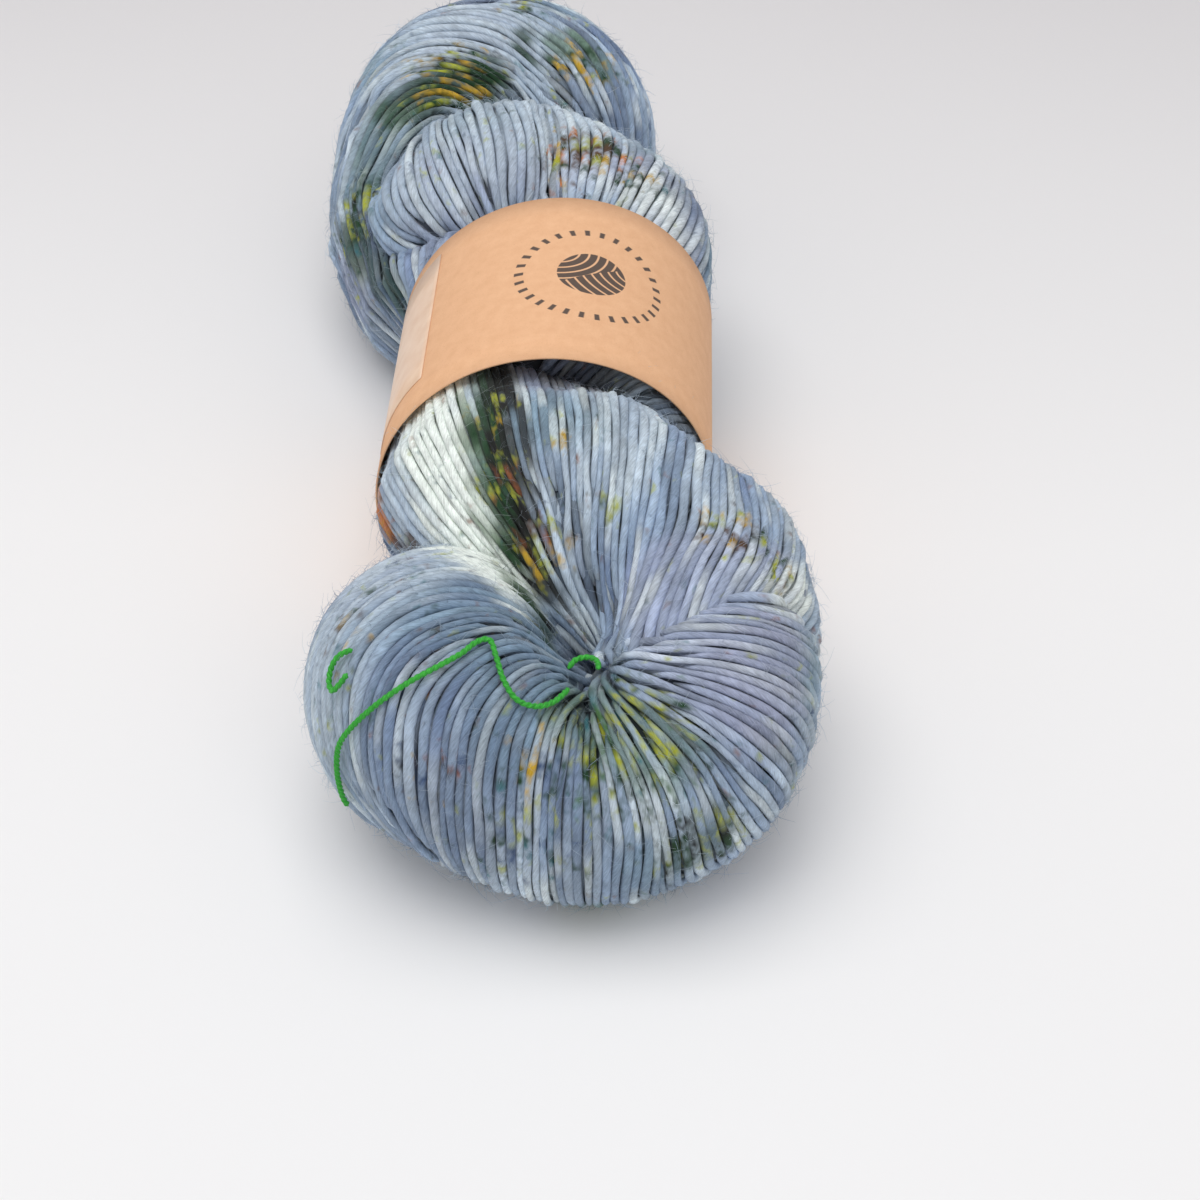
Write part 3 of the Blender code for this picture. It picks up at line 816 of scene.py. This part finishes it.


# ---- dye and painted shade: soft grounds, splashes that cross the yarns (some of them painted shade), and flecks that keep to one yarn
splashes = [
    # colour, strength, reach, the line it follows
    # painted shade: the near turn's front darkened
    ("slate", 0.38, 30, [(-18, -90, 50), (-5, -105, 38)]),
    ("mist", 0.6, 15, [(-37, -93, 38), (-30.4, -86, 50), (-20, -74, 52)]),
    ("mist", 0.4, 30, [(-15, 62, 56), (-20, 105, 52)]),
    ("mist", 0.62, 13, [(-35, 110, 56), (-20, 115, 58), (-8, 108, 55)]),
    ("mist", 0.55, 14, [(-30, 52, 53), (-12, 62, 59)]),
    ("navy", 0.5, 4.5, [(-22, 40, 51), (-19, 36, 49)]),
    ("mist", 0.8, 15, [(-26, -36, 50), (-22, -52, 48)]),
    ("mint", 1, 10.5, [(-20.5, -29, 56), (-18.5, -50.1, 53), (-12, -64, 51), (-4.5, -74, 49)]),
    ("fern", 0.75, 5.2, [(-11.2, -32.5, 60), (-8.8, -50.3, 58.5), (-5.3, -63.4, 53.5), (-0.6, -75.5, 47.5)]),
    ("forest", 0.97, 4.2, [
        (-10, -28, 59.5), (-7.6, -50.3, 58.6), (-4.1, -63.4, 53.3), (0.4, -75.5, 47.5), (4, -80, 43),
    ]),
    ("ink", 0.97, 3, [
        (-7, -26, 59.5), (-4.4, -51.4, 59.6), (-0.7, -64.4, 54.2), (3.3, -73.5, 46), (6, -79, 42),
    ]),
    # painted shade: black under the band's near edge, over the dark yarn there
    ("ink", 0.72, 5, [(2.8, -21.1, 53.7), (10.5, -24.2, 54.5), (18.2, -28.3, 54.2), (25.8, -28.3, 48.6)]),
    ("orange", 0.85, 3, [(-31, -40.1, 39.4), (-29, -44, 35)]),
    ("bark", 0.8, 3, [(-28, -49, 33), (-23, -54, 37)]),
    ("mint", 0.8, 6.5, [(44, -78, 51.2), (48.1, -72.3, 46.3)]),
    ("lavender", 0.6, 16, [(40, -94, 45)]),
    ("fern", 0.55, 9, [(11, -100, 42), (24, -106, 40)]),
    ("forest", 0.6, 5, [(30.6, -111.8, 20.7), (32, -108, 28)]),
    ("forest", 0.95, 7.5, [(-40, 86, 50), (-30, 95, 53), (-20, 100, 53)]),
    ("forest", 0.9, 3, [(-12, 112, 56), (-2, 96, 50)]),
    ("forest", 0.75, 7, [(-50.3, 62.1, 30.7), (-41.3, 43.7, 32.3), (-34.9, 35.2, 32.8)]),
    ("fern", 0.42, 8, [(-47.1, 70.4, 41.3), (-42, 84, 48)]),
    ("fern", 0.65, 6, [(-3.7, 111, 55.7), (6, 106, 50)]),
    ("mint", 0.6, 10, [(18.7, 43.7, 56.2), (24, 32, 54)]),
    ("navy", 0.5, 8, [(27.3, 49.4, 50.5)]),
    ("fern", 0.6, 9, [(30, -90, 10), (10, -105, 5)]),
    ("forest", 0.7, 10, [(-40, 110, 20), (-30, 125, 25)]),
    ("rust", 0.45, 6, [(12, 108, 25), (6, 122, 20)]),
    ("mint", 0.7, 12, [(-5, 125, 40), (5, 115, 25)]),
]
fleckPlaces = [
    # where, its reach, how much of the yarn it takes, the dyes
    ((17, -104, 38), 23, 0.6, ("lime", "forest", "lime", "forest", "teal", "fern")),
    ((6, -108, 38), 16, 0.44, ("forest", "lime", "navy", "gold", "forest")),
    ((-30, -90, 48), 12, 0.34, ("forest", "gold", "bark", "teal")),
    ((30, -110, 23), 15, 0.66, ("forest", "ink", "forest", "lime")),
    ((0, -112, 25), 20, 0.42, ("teal", "forest", "lime", "navy", "forest")),
    ((-17, -97, 52), 11, 0.3, ("rust", "forest", "bark")),
    ((-14, -108, 36), 12, 0.4, ("gold", "forest", "ink", "rust", "navy")),
    ((-9, -40, 60), 9.5, 0.52, ("lime", "gold", "lime", "forest")),
    ((-6, -56, 57), 11, 0.56, ("lime", "forest", "lime", "rust")),
    ((2, -68, 51), 10, 0.6, ("gold", "rust", "bark", "lime")),
    ((36, -69, 56.5), 11.5, 0.66, ("lime", "forest", "gold", "ink", "bark")),
    ((44, -74, 52), 8, 0.56, ("gold", "forest", "lime", "rust", "forest")),
    ((4, -50, 60), 6, 0.46, ("gold", "lime")),
    ((14.3, -64, 57), 6, 0.6, ("lime", "forest", "fern")),
    ((-29, -45, 36), 9.5, 0.6, ("gold", "orange", "bark")),
    ((5.5, 57, 57.5), 17.5, 0.72, ("gold", "lime", "bark", "forest", "orange")),
    ((17, 48, 57), 13, 0.6, ("forest", "teal", "gold", "forest")),
    ((-26, 96, 53), 20, 0.64, ("lime", "forest", "ink", "forest", "gold")),
    ((-46, 62, 36), 19, 0.62, ("lime", "ink", "forest", "teal", "forest")),
    ((4, 106, 52), 15, 0.6, ("lime", "forest", "forest", "gold")),
    ((-12, 124, 56), 11, 0.46, ("forest", "bark", "lime")),
    ((-30, 54, 53), 12, 0.36, ("lime", "rust", "teal", "navy")),
    ((40, -60, 20), 18, 0.24, ("lime", "forest", "orange")),
    ((-10, -60, 10), 18, 0.26, ("gold", "forest", "teal")),
    ((-10, 120, 20), 22, 0.3, ("lime", "forest", "orange")),
    ((10, 70, 15), 18, 0.26, ("teal", "forest", "gold")),
]


def distanceTo(points, line):
    # from points in metres to a line in millimetres, in metres
    line = np.array(line, float) / 1000
    if len(line) == 1:
        return np.linalg.norm(points - line[0], axis=1)
    nearest = np.full(len(points), np.inf)
    for start, stop in zip(line, line[1:]):
        span = stop - start
        t = np.clip((points - start) @ span / (span @ span), 0, 1)
        nearest = np.minimum(nearest, np.linalg.norm(points - start - t[:, None] * span, axis=1))
    return nearest


def blend(colour, other, share):
    return colour + (other - colour) * share[:, None]


dyeLook = {
    "splashCore": 0.45, "fleckCore": 0.2,     # of its reach, where a splash or a place's flecks are full
    "fleckMost": 0.86, "fleckLeast": 0.15,    # how much of a yarn they take, at most and away from there
    "fleckLength": 0.0062, "fleckSets": (0.2, 0.6),
    "elsewhere": ("lime", "teal", "rust", "forest", "navy"),
}


def groundDye(points, number, along):
    tone = 0.5 * softNoise(points, 0.018, 5) + 0.5 * alongNoise(number, along, 0.030, 6)
    colour = np.tile(dyes["periwinkle"], (len(points), 1))
    for name, most, low, high, noise in (
        ("mist", 1.0, 0.45, 0.80, tone),
        ("slate", 0.8, 0.46, 0.18, tone),
        ("seaGrey", 0.7, 0.55, 0.85, softNoise(points, 0.022, 8)),
        ("lavender", 0.5, 0.60, 0.85, softNoise(points, 0.026, 9)),
        ("mint", 0.42, 0.58, 0.86, alongNoise(number, along, 0.010, 19)),
    ):
        colour = blend(colour, dyes[name], most * smoothStep(low, high, noise))
    shade = 0.60 + 0.58 * alongNoise(number, along, 0.011, 17) + 0.26 * alongNoise(number, along * 0, 0.5, 18)
    return colour * shade[:, None]


def fleckDye(points, number, along):
    # the colours of a yarn's flecks, and in the fourth column how much of it they take
    share = np.full(len(points), dyeLook["fleckLeast"])
    choice = np.zeros(len(points), int)
    for n, (place, reach, amount, _) in enumerate(fleckPlaces):
        away = np.linalg.norm(points * 1000 - np.array(place), axis=1)
        here = dyeLook["fleckMost"] * amount * smoothStep(reach, reach * dyeLook["fleckCore"], away)
        choice = np.where(here > share, n + 1, choice)
        share = np.maximum(share, here)
    pick = alongNoise(number, along, dyeLook["fleckLength"], 22) * 0.999
    low, span = dyeLook["fleckSets"]
    fleck = np.zeros((len(points), 4))
    for n, names in enumerate([dyeLook["elsewhere"]] + [row[3] for row in fleckPlaces]):
        mine = choice == n
        order = np.clip((pick[mine] - low) / span, 0, 0.999) * len(names)
        fleck[mine, :3] = np.array([dyes[name] for name in names])[order.astype(int)]
    fleck[:, 3] = np.clip(share * (0.5 + alongNoise(number, along, 0.016, 21)), 0, 1)
    return fleck


def paintYarn(points, number, along):
    points = points - skeinShift
    colour = groundDye(points, number, along)
    ragged = (alongNoise(number, along, 0.009, 11) - 0.5) * 0.0052
    ragged += (softNoise(points, 0.004, 12) - 0.5) * 0.0016
    taken = 0.45 + 0.9 * alongNoise(number, along, 0.012, 14)
    for name, strength, reach, line in splashes:
        away = (distanceTo(points, line) + ragged) * 1000
        share = strength * smoothStep(reach, reach * dyeLook["splashCore"], away)
        colour = blend(colour, dyes[name], np.clip(share * np.maximum(taken, strength ** 3), 0, 1))
    return colour, fleckDye(points, number, along)


# ---- yarn pieces: two layers of yarns on each part of the strand
def uneven(own, along, spread):
    return 1 + spread * (2 * alongNoise(own, along, yarnLay["unevenSize"], 33) - 1)


def finishedYarn(line, room, step, number, layer, seed, coarse):
    # the traced line evened out between its neighbours, with its own slight wander and its ends dipped under
    along = np.arange(len(line)) * step
    places, out, dip = line[:, :3], unit(line[:, 3:6]), line[:, 11]
    side = np.cross(out, unit(np.gradient(places, axis=0)))
    own = np.full(len(line), float(number))
    lateral = (alongNoise(own, along, yarnLay["wanderSize"], seed + 3) - 0.5) * 2 * yarnLay["wander"]
    lateral += yarnLay["centring"] * (room[:, 0] - room[:, 1])
    lift = (alongNoise(own, along, yarnLay["liftSize"], seed + 4) - 0.5) * 2
    lift = (lift + alongNoise(own, own * 0, 0.5, seed + 5) - 0.5) * yarnLay["lift"] * coarse ** 2
    toEnd = np.minimum(along, along[-1] - along)
    dip = dip + yarnLay["dipDepth"] * smoothStep(yarnLay["dipLength"], 0, toEnd)
    points = places + side * lateral[:, None] + out * (lift - dip)[:, None]
    points[:, 2] = np.maximum(points[:, 2], yarnLay["radius"][1] * coarse * yarnLay["overFloor"])
    kept = np.unique(np.append(np.arange(0, len(line), 2), len(line) - 1))
    points, out, along, own, toEnd, room = (values[kept] for values in (points, out, along, own, toEnd, room))
    dye, fleck = paintYarn(points, own, along)
    radius = np.clip(yarnLay["fullness"] * room.mean(axis=1) / coarse, *yarnLay["radius"]) * coarse ** 0.75
    atEnd, growing = yarnLay["taper"]
    radius = radius * uneven(own, along, yarnLay["uneven"]) * np.clip(atEnd + toEnd / growing, atEnd, 1)
    return {
        "points": points, "out": out, "radius": radius, "along": along, "number": number,
        # the second layer's dye darkened as painted shade
        "dye": dye * yarnLay["underPaintedShade"] if layer else dye, "fleck": fleck,
    }


def makeYarns():
    wool = woolMaterial("dyedWool", woolLook)
    sections = strandSections()
    top = []
    for layer, sides in ((0, 8), (1, 6)):
        for k, (name, patch) in enumerate(yarnPatches.items()):
            lines, step = layYarns(name, patch, sections, layer, 31 + 7 * k + 60 * layer)
            label, coarse = name + ("Under" if layer else ""), patch.get("coarse", 1.0)
            number = 600 * k + 2400 * layer
            threads = [finishedYarn(line, room, step, number + n, layer, 71 + k, coarse)
                       for n, (line, room) in enumerate(zip(lines, roomBeside(lines)))]
            mesh = threadsMesh(label, threads, sides)
            newPiece(label, mesh, wool, "hank")
            if not layer:
                top += threads
            print(label, sum(len(p.vertices) - 2 for p in mesh.polygons), "triangles")
    return wool, top


# shade: how much the core's dye is darkened, as painted shade between the yarns
coreShape = {"sides": 28, "below": 0.0006, "shade": 0.35, "dyeStretch": 3}


def makeCore(wool):
    # the imported yarn inside, a little smaller than the strand, its dye darkened as painted shade that shows
    # between the yarns
    sections, sides = strandSections(), coreShape["sides"]
    bm = bmesh.new()
    dyeLayer = bm.verts.layers.float_color.new("dye")
    fleckLayer = bm.verts.layers.float_color.new("fleck")
    sink = yarnLay["sink"] + yarnLay["under"] + coreShape["below"]
    rings = []
    for row in sections:
        ways = (row[5:8] * (row[3] - sink), row[8:11] * (row[4] - sink), row[11:14])
        place = Matrix(ways).transposed().to_4x4()
        place.translation = row[:3]
        rings.append(bmesh.ops.create_circle(bm, segments=sides, radius=1.0, matrix=place)["verts"])
    for ring, following in zip(rings, rings[1:] + rings[:1]):
        for k in range(sides):
            bm.faces.new((ring[k - 1], ring[k], following[k], following[k - 1]))
    bmesh.ops.recalc_face_normals(bm, faces=bm.faces)
    points = squeezed(np.array([v.co for v in bm.verts]), sink)
    inward = unit(np.repeat(sections[:, :3], sides, axis=0) - points)
    points += inward * dipAt("coreValley", distanceTo(points, crownValley))[:, None] + skeinShift
    dye, _ = paintYarn(points, np.zeros(len(points)), points[:, 1] * coreShape["dyeStretch"])
    # the core's dye darkened as painted shade
    for vertex, place, colour in zip(bm.verts, points, dye * coreShape["shade"]):
        vertex.co = place
        vertex[dyeLayer] = (*colour, 1.0)
        vertex[fleckLayer] = (0, 0, 0, 0)
    mesh = meshFrom(bm, "woolCore")
    mesh.uv_layers.new(name="threadLay")
    newPiece("woolCore", mesh, wool, "hank")


# at the far end's pole the turning yarns leave an eye, and a few yarns of the layer below cross it, their dye
# darkened as painted shade
farEye = {
    "pole": (-0.0135, 0.1464, 0.0290), "depth": 0.0019, "yarns": 9, "pitch": 0.00160, "halfLength": 0.0072,
    "slant": 38, "bend": 24.0, "radius": 0.00086, "uneven": 0.12, "points": 15, "shade": 0.82,
    "firstNumber": 9000,
}


def fillFarEye(wool):
    slant = math.radians(farEye["slant"])
    ahead = np.array((math.cos(slant), 0.0, math.sin(slant)))
    side = np.array((-math.sin(slant), 0.0, math.cos(slant)))
    stops = np.linspace(-1, 1, farEye["points"]) * farEye["halfLength"]
    threads = []
    for n in range(farEye["yarns"]):
        offset = (n - (farEye["yarns"] - 1) / 2) * farEye["pitch"]
        points = np.array(farEye["pole"]) + skeinShift + np.outer(stops, ahead) + side * offset
        points[:, 1] -= farEye["depth"] + farEye["bend"] * (stops ** 2 + offset ** 2)
        number, along = farEye["firstNumber"] + n, stops + farEye["halfLength"]
        own = np.full(len(stops), float(number))
        points += np.outer(alongNoise(own, along, 0.006, 61) - 0.5, side) * yarnLay["wander"]
        dye, fleck = paintYarn(points, own, along)
        threads.append({
            "points": points, "out": np.tile((0.0, 1.0, 0.0), (len(stops), 1)), "along": along,
            "number": number, "radius": farEye["radius"] * uneven(own, along, farEye["uneven"]),
            # dye darkened as painted shade, for lying under the turning yarns
            "dye": dye * farEye["shade"], "fleck": fleck,
        })
    newPiece("yarnFarEye", threadsMesh("yarnFarEye", threads, 8), wool, "hank")


wool, topYarns = makeYarns()
fillFarEye(wool)
makeCore(wool)
print("yarn wound")


# ---- stray fibres that stand off the yarn
fuzz = {
    "count": 9200, "points": 4, "radius": 0.000042, "thinning": 0.8, "roughness": 0.7,
    "length": (0.0014, 0.0048), "shorter": (0.4, 1.0),
    "leanAhead": 0.9, "leanAside": 0.5, "standing": (0.25, 1.3), "curl": 0.8, "droop": (0.0, 0.9),
    "curlReach": 0.8,         # of the hair's length
    "rootedAt": 0.8,          # of the yarn's radius
    "lowest": 0.0003, "mist": 0.25,
}


def makeFuzz():
    fibre = newMaterial("looseFibre")
    finish(fibre, {"Base Color": paintOf(fibre, "dye")["Color"], "Roughness": fuzz["roughness"]})
    for name, threads in (
        ("looseFibresNear", [t for t in topYarns if t["points"][:, 1].mean() < 0]),
        ("looseFibresFar", [t for t in topYarns if t["points"][:, 1].mean() >= 0]),
    ):
        hairs = growHairs(threads)
        newPiece(name, threadsMesh(name, hairs, 3), fibre, "hank")
        print(name, len(hairs), "hairs")


def growHairs(threads):
    weights = np.array([len(t["points"]) for t in threads], float)
    picks = dice.choice(len(threads), fuzz["count"], p=weights / weights.sum())
    t = np.linspace(0, 1, fuzz["points"])
    hairs = []
    for pick in picks:
        thread = threads[pick]
        at = dice.integers(1, len(thread["points"]) - 1)
        out = thread["out"][at]
        ahead = unit(thread["points"][at + 1] - thread["points"][at - 1])
        side = np.cross(ahead, out)
        lean = ahead * dice.normal(0, fuzz["leanAhead"]) + side * dice.normal(0, fuzz["leanAside"])
        lean = unit(lean + out * dice.uniform(*fuzz["standing"]))
        curl = ahead * dice.normal(0, fuzz["curl"]) + side * dice.normal(0, fuzz["curl"])
        curl = (curl - out * dice.uniform(*fuzz["droop"])) * fuzz["curlReach"]
        length = dice.uniform(*fuzz["length"]) * dice.uniform(*fuzz["shorter"])
        points = thread["points"][at] + out * thread["radius"][at] * fuzz["rootedAt"]
        points = points + (np.outer(t, lean) + np.outer(t ** 2, curl)) * length
        points[:, 2] = np.maximum(points[:, 2], fuzz["lowest"])
        colour = thread["dye"][at] * (1 - fuzz["mist"]) + dyes["mist"] * fuzz["mist"]
        hairs.append({
            "points": points, "out": np.tile(side + out * 0.3, (len(t), 1)), "along": t * length,
            "radius": fuzz["radius"] * (1.1 - fuzz["thinning"] * t), "dye": np.tile(colour, (len(t), 1)),
        })
    return hairs


makeFuzz()


# ---- the kraft paper band
paperBand = {"steps": 150, "thickness": 0.00035, "lengthCuts": 8}


def bandPlace(degrees, lift):
    turn = math.radians(degrees)
    radius = bandShape["radius"] + lift
    return radius * math.cos(turn), max(bandShape["height"] + radius * math.sin(turn), -lift)


def stripMesh(name, angles, lifts, middle, length, cuts):
    # an open strip round the band, with its lay in millimetres: round it, and along the skein
    bm = bmesh.new()
    roundLayer = bm.verts.layers.float.new("round")
    row = []
    for degrees, lift in zip(angles, lifts):
        x, z = bandPlace(degrees, lift)
        vertex = bm.verts.new((x, middle + length / 2 + bandShape["skew"] * x, z))
        vertex[roundLayer] = math.radians(degrees) * bandShape["radius"] * 1000
        row.append(vertex)
    edges = [bm.edges.new(pair) for pair in zip(row, row[1:])]
    for _ in range(cuts):
        moved, edges = extruded(bm, edges)
        bmesh.ops.translate(bm, verts=moved, vec=(0.0, -length / cuts, 0.0))
    bm.normal_update()
    first = bm.faces[:][0]
    if first.normal.dot(first.calc_center_median() - Vector((0.0, 0.0, bandShape["height"]))) < 0:
        bmesh.ops.reverse_faces(bm, faces=bm.faces)
    paperLay = bm.loops.layers.uv.new("paperLay")
    for loop in (loop for face in bm.faces for loop in face.loops):
        place = loop.vert.co
        along = place.y - bandShape["skew"] * place.x - bandShape["middle"]
        loop[paperLay].uv = (loop.vert[roundLayer], along * 1000)
    bmesh.ops.translate(bm, verts=bm.verts, vec=skeinShift)
    return meshFrom(bm, name)


def giveThickness(piece, thickness, offset):
    wall = piece.modifiers.new("wall", "SOLIDIFY")
    wall.thickness, wall.offset, wall.use_even_offset = thickness, offset, True


bandPrint = {
    "ballAt": (247.0, 1.0), "ballRadius": 7.0, "turnsFrom": ((6.5, 7.0), (-8.5, 4.0)), "turnPitch": 0.95,
    "turnGap": 0.28, "halfSlope": 0.6, "sharpness": 7.0, "ink": 0.92,
    "stitchRing": (13.4, 15.4), "stitches": 15, "stitchGap": 0.42, "stitchSharpness": 6.0,
}


def printedOn(paper, lay):
    # a plain print in millimetres: a ball of yarn in a ring of stitch marks
    split = newNode(paper, "ShaderNodeSeparateXYZ", {0: lay})

    def work(operation, first, second=0.0):
        return mathNode(paper, operation, first, second)

    def edge(value, sharpness=bandPrint["sharpness"]):
        return mathNode(paper, "MULTIPLY", value, sharpness, True)

    def fromPlace(u, v):
        across, along = work("SUBTRACT", split.outputs[0], u), work("SUBTRACT", split.outputs[1], v)
        squares = work("ADD", work("MULTIPLY", across, across), work("MULTIPLY", along, along))
        return across, along, work("SQRT", squares)

    def within(value, low, high):
        return work("MULTIPLY", edge(work("SUBTRACT", value, low)), edge(work("SUBTRACT", high, value)))

    u, v = bandPrint["ballAt"]
    across, along, reach = fromPlace(u, v)
    half = edge(work("ADD", work("MULTIPLY", across, bandPrint["halfSlope"]), along))
    pale = []
    for du, dv in bandPrint["turnsFrom"]:
        wave = work("PINGPONG", fromPlace(u + du, v + dv)[2], bandPrint["turnPitch"])
        pale.append(edge(work("SUBTRACT", bandPrint["turnGap"], wave)))
    otherHalf = work("MULTIPLY", pale[1], work("SUBTRACT", 1.0, half))
    turns = work("ADD", work("MULTIPLY", pale[0], half), otherHalf)
    ball = work("MULTIPLY", within(reach, -1.0, bandPrint["ballRadius"]), work("SUBTRACT", 1.0, turns))
    turning = work("MULTIPLY", work("ARCTAN2", along, across), 2 * bandPrint["stitches"] / math.pi)
    gap = work("SUBTRACT", bandPrint["stitchGap"], work("PINGPONG", turning, 1.0))
    marks = work("MULTIPLY", within(reach, *bandPrint["stitchRing"]), edge(gap, bandPrint["stitchSharpness"]))
    return edge(work("ADD", ball, marks), bandPrint["ink"])


paperLook = {
    # scale of each grain for each millimetre, with its stretch, detail and roughness
    "pulp": ((1, 1, 1), 0.35, 4.0, 0.6), "fibres": ((1.0, 2.6, 1), 3.2, 3.0, 0.65),
    "specks": ((1, 1, 1), 4.2, 1.0, 0.5),
    "shades": ((0.3, (228, 177, 136)), (0.7, (236, 187, 146))),
    "streaks": ((0.30, 0.93), (0.50, 1.0), (0.75, 1.04)), "speckShare": ((0.68, 0.0), (0.76, 0.5)),
    "speckShade": (176, 124, 84), "inkShade": (66, 62, 62),
    "roughness": 0.78, "specular": 0.3, "fibreBump": 0.25, "fibreDepth": 0.00008,
}


def paperMaterial(look):
    paper = newMaterial("kraftPaper")
    lay = layOf(paper, "paperLay")
    grains = (look["pulp"], look["fibres"], look["specks"])
    pulp, fibres, specks = (stretchedNoise(paper, lay, *grain) for grain in grains)
    base = screenRamp(paper, pulp, look["shades"])
    base = mixColour(paper, 1.0, base, rampNode(paper, fibres, look["streaks"]), "MULTIPLY")
    speckle = rampNode(paper, specks, look["speckShare"])
    base = mixColour(paper, speckle, base, fromScreen(*look["speckShade"]))
    base = mixColour(paper, printedOn(paper, lay), base, fromScreen(*look["inkShade"]))
    inputs = {"Base Color": base, "Roughness": look["roughness"], "Specular IOR Level": look["specular"]}
    finish(paper, inputs, fibres, look["fibreBump"], look["fibreDepth"])
    return paper


def makeBand():
    turns = np.linspace(0.0, 360.0 + bandShape["seamOverlap"], paperBand["steps"] + 1)
    climb = np.clip((turns - (360.0 - bandShape["seamRise"])) / bandShape["seamRise"], 0.0, 1.0)
    lifts = (bandShape["wall"] + bandShape["paperGap"]) * climb ** 2 * (3 - 2 * climb)
    angles, middle, length = bandShape["seamStart"] + turns, bandShape["middle"], bandShape["length"]
    mesh = stripMesh("paperBand", angles, lifts, middle, length, paperBand["lengthCuts"])
    band = newPiece("paperBand", mesh, paperMaterial(paperLook), "paper_band")
    giveThickness(band, paperBand["thickness"], -1.0)


makeBand()
print("band wrapped")


# ---- the pale sticker on the band's left
stickerShape = {
    "from": 136, "to": 172, "length": 0.043, "middle": 0.0005, "thickness": 0.00012, "lift": 0.00005,
    "steps": 18, "lengthCuts": 6,
    "clouds": ((1, 1, 1), 260, 3.0, 0.55), "shades": ((0.3, (232, 196, 166)), (0.7, (242, 212, 186))),
    "roughness": 0.38,
}


def makeSticker():
    label = newMaterial("paleLabel")
    clouds = stretchedNoise(label, placeIn(label), *stickerShape["clouds"])
    shade = screenRamp(label, clouds, stickerShape["shades"])
    finish(label, {"Base Color": shade, "Roughness": stickerShape["roughness"]})
    angles = np.linspace(stickerShape["from"], stickerShape["to"], stickerShape["steps"] + 1)
    lifts = [stickerShape["lift"]] * len(angles)
    middle, length, cuts = stickerShape["middle"], stickerShape["length"], stickerShape["lengthCuts"]
    mesh = stripMesh("bandSticker", angles, lifts, middle, length, cuts)
    sticker = newPiece("bandSticker", mesh, label, "band_sticker")
    giveThickness(sticker, stickerShape["thickness"], 1.0)


makeSticker()
print("sticker on")


# ---- floor, backdrop and light
studio = {
    "floorSize": 3.0, "riseAt": 0.75, "riseRadius": 0.6, "riseSteps": 10, "wallHeight": 2.0,
    # the far colour is painted shade: the floor and backdrop darker towards the back
    "floorShade": (240, 239, 239), "farPaintedShade": (218, 215, 216), "farFrom": 0.02, "farSharpness": 3.2,
    "clouds": ((1, 1, 1), 3.0, 2.0, 0.5), "cloudShades": ((0.3, 0.985), (0.7, 1.0)), "roughness": 0.9,
    "skyShade": 0.56, "skyColour": (0.97, 0.98, 1.0), "lightsAimAt": (0, -0.04, 0.02), "lightSize": 0.80,
    "lights": [
        # name, place, power, colour
        ("keyLight", (-0.12, -0.08, 1.00), 5.4, (1.0, 0.995, 0.985)),
        ("fillLight", (0.20, -0.70, 0.75), 1.35, (0.97, 0.98, 1.0)),
    ],
}


def sweepMaterial():
    pale = newMaterial("paleSweep")
    place = placeIn(pale)
    clouds = stretchedNoise(pale, place, *studio["clouds"])
    split = newNode(pale, "ShaderNodeSeparateXYZ", {0: place})
    # painted shade: darker towards the backdrop
    fromFar = mathNode(pale, "ADD", split.outputs[1], studio["farFrom"])
    back = mathNode(pale, "MULTIPLY", fromFar, studio["farSharpness"], True)
    shade = mixColour(pale, back, fromScreen(*studio["floorShade"]), fromScreen(*studio["farPaintedShade"]))
    colour = mixColour(pale, 1.0, shade, rampNode(pale, clouds, studio["cloudShades"]), "MULTIPLY")
    finish(pale, {"Base Color": colour, "Roughness": studio["roughness"]})
    return pale


def makeSweep():
    # the floor, which rises into the backdrop
    bm = bmesh.new()
    size, riseAt, radius = studio["floorSize"], studio["riseAt"], studio["riseRadius"]
    edges = [bm.edges.new([bm.verts.new((x, -size, 0.0)) for x in (-size, size)])]
    rise = [(riseAt + radius * math.sin(a), radius * (1 - math.cos(a)))
            for a in np.linspace(0.15, math.pi / 2, studio["riseSteps"])]
    for y, z in [(riseAt, 0.0)] + rise + [(riseAt + radius, studio["wallHeight"])]:
        moved, edges = extruded(bm, edges)
        for vertex in moved:
            vertex.co.y, vertex.co.z = y, z
    bmesh.ops.recalc_face_normals(bm, faces=bm.faces)
    mesh = meshFrom(bm, "paleSweep")
    mesh.materials.append(sweepMaterial())
    sweep = bpy.data.objects.new("paleSweep", mesh)
    bpy.context.scene.collection.objects.link(sweep)


def makeLights():
    world = bpy.data.worlds.new("softRoom")
    world.use_nodes = True
    sky = {"Color": studio["skyColour"], "Strength": studio["skyShade"]}
    feed(world, world.node_tree.nodes["Background"], sky)
    bpy.context.scene.world = world
    for name, spot, power, colour in studio["lights"]:
        lamp = bpy.data.lights.new(name, "AREA")
        lamp.shape, lamp.size, lamp.energy, lamp.color = "SQUARE", studio["lightSize"], power, colour
        light = bpy.data.objects.new(name, lamp)
        light.location = spot
        aim = Vector(studio["lightsAimAt"]) - Vector(spot)
        light.rotation_euler = aim.to_track_quat("-Z", "Y").to_euler()
        bpy.context.scene.collection.objects.link(light)
    bpy.context.scene.view_settings.view_transform = "Standard"


makeSweep()
makeLights()
print("studio lit")

print("done")
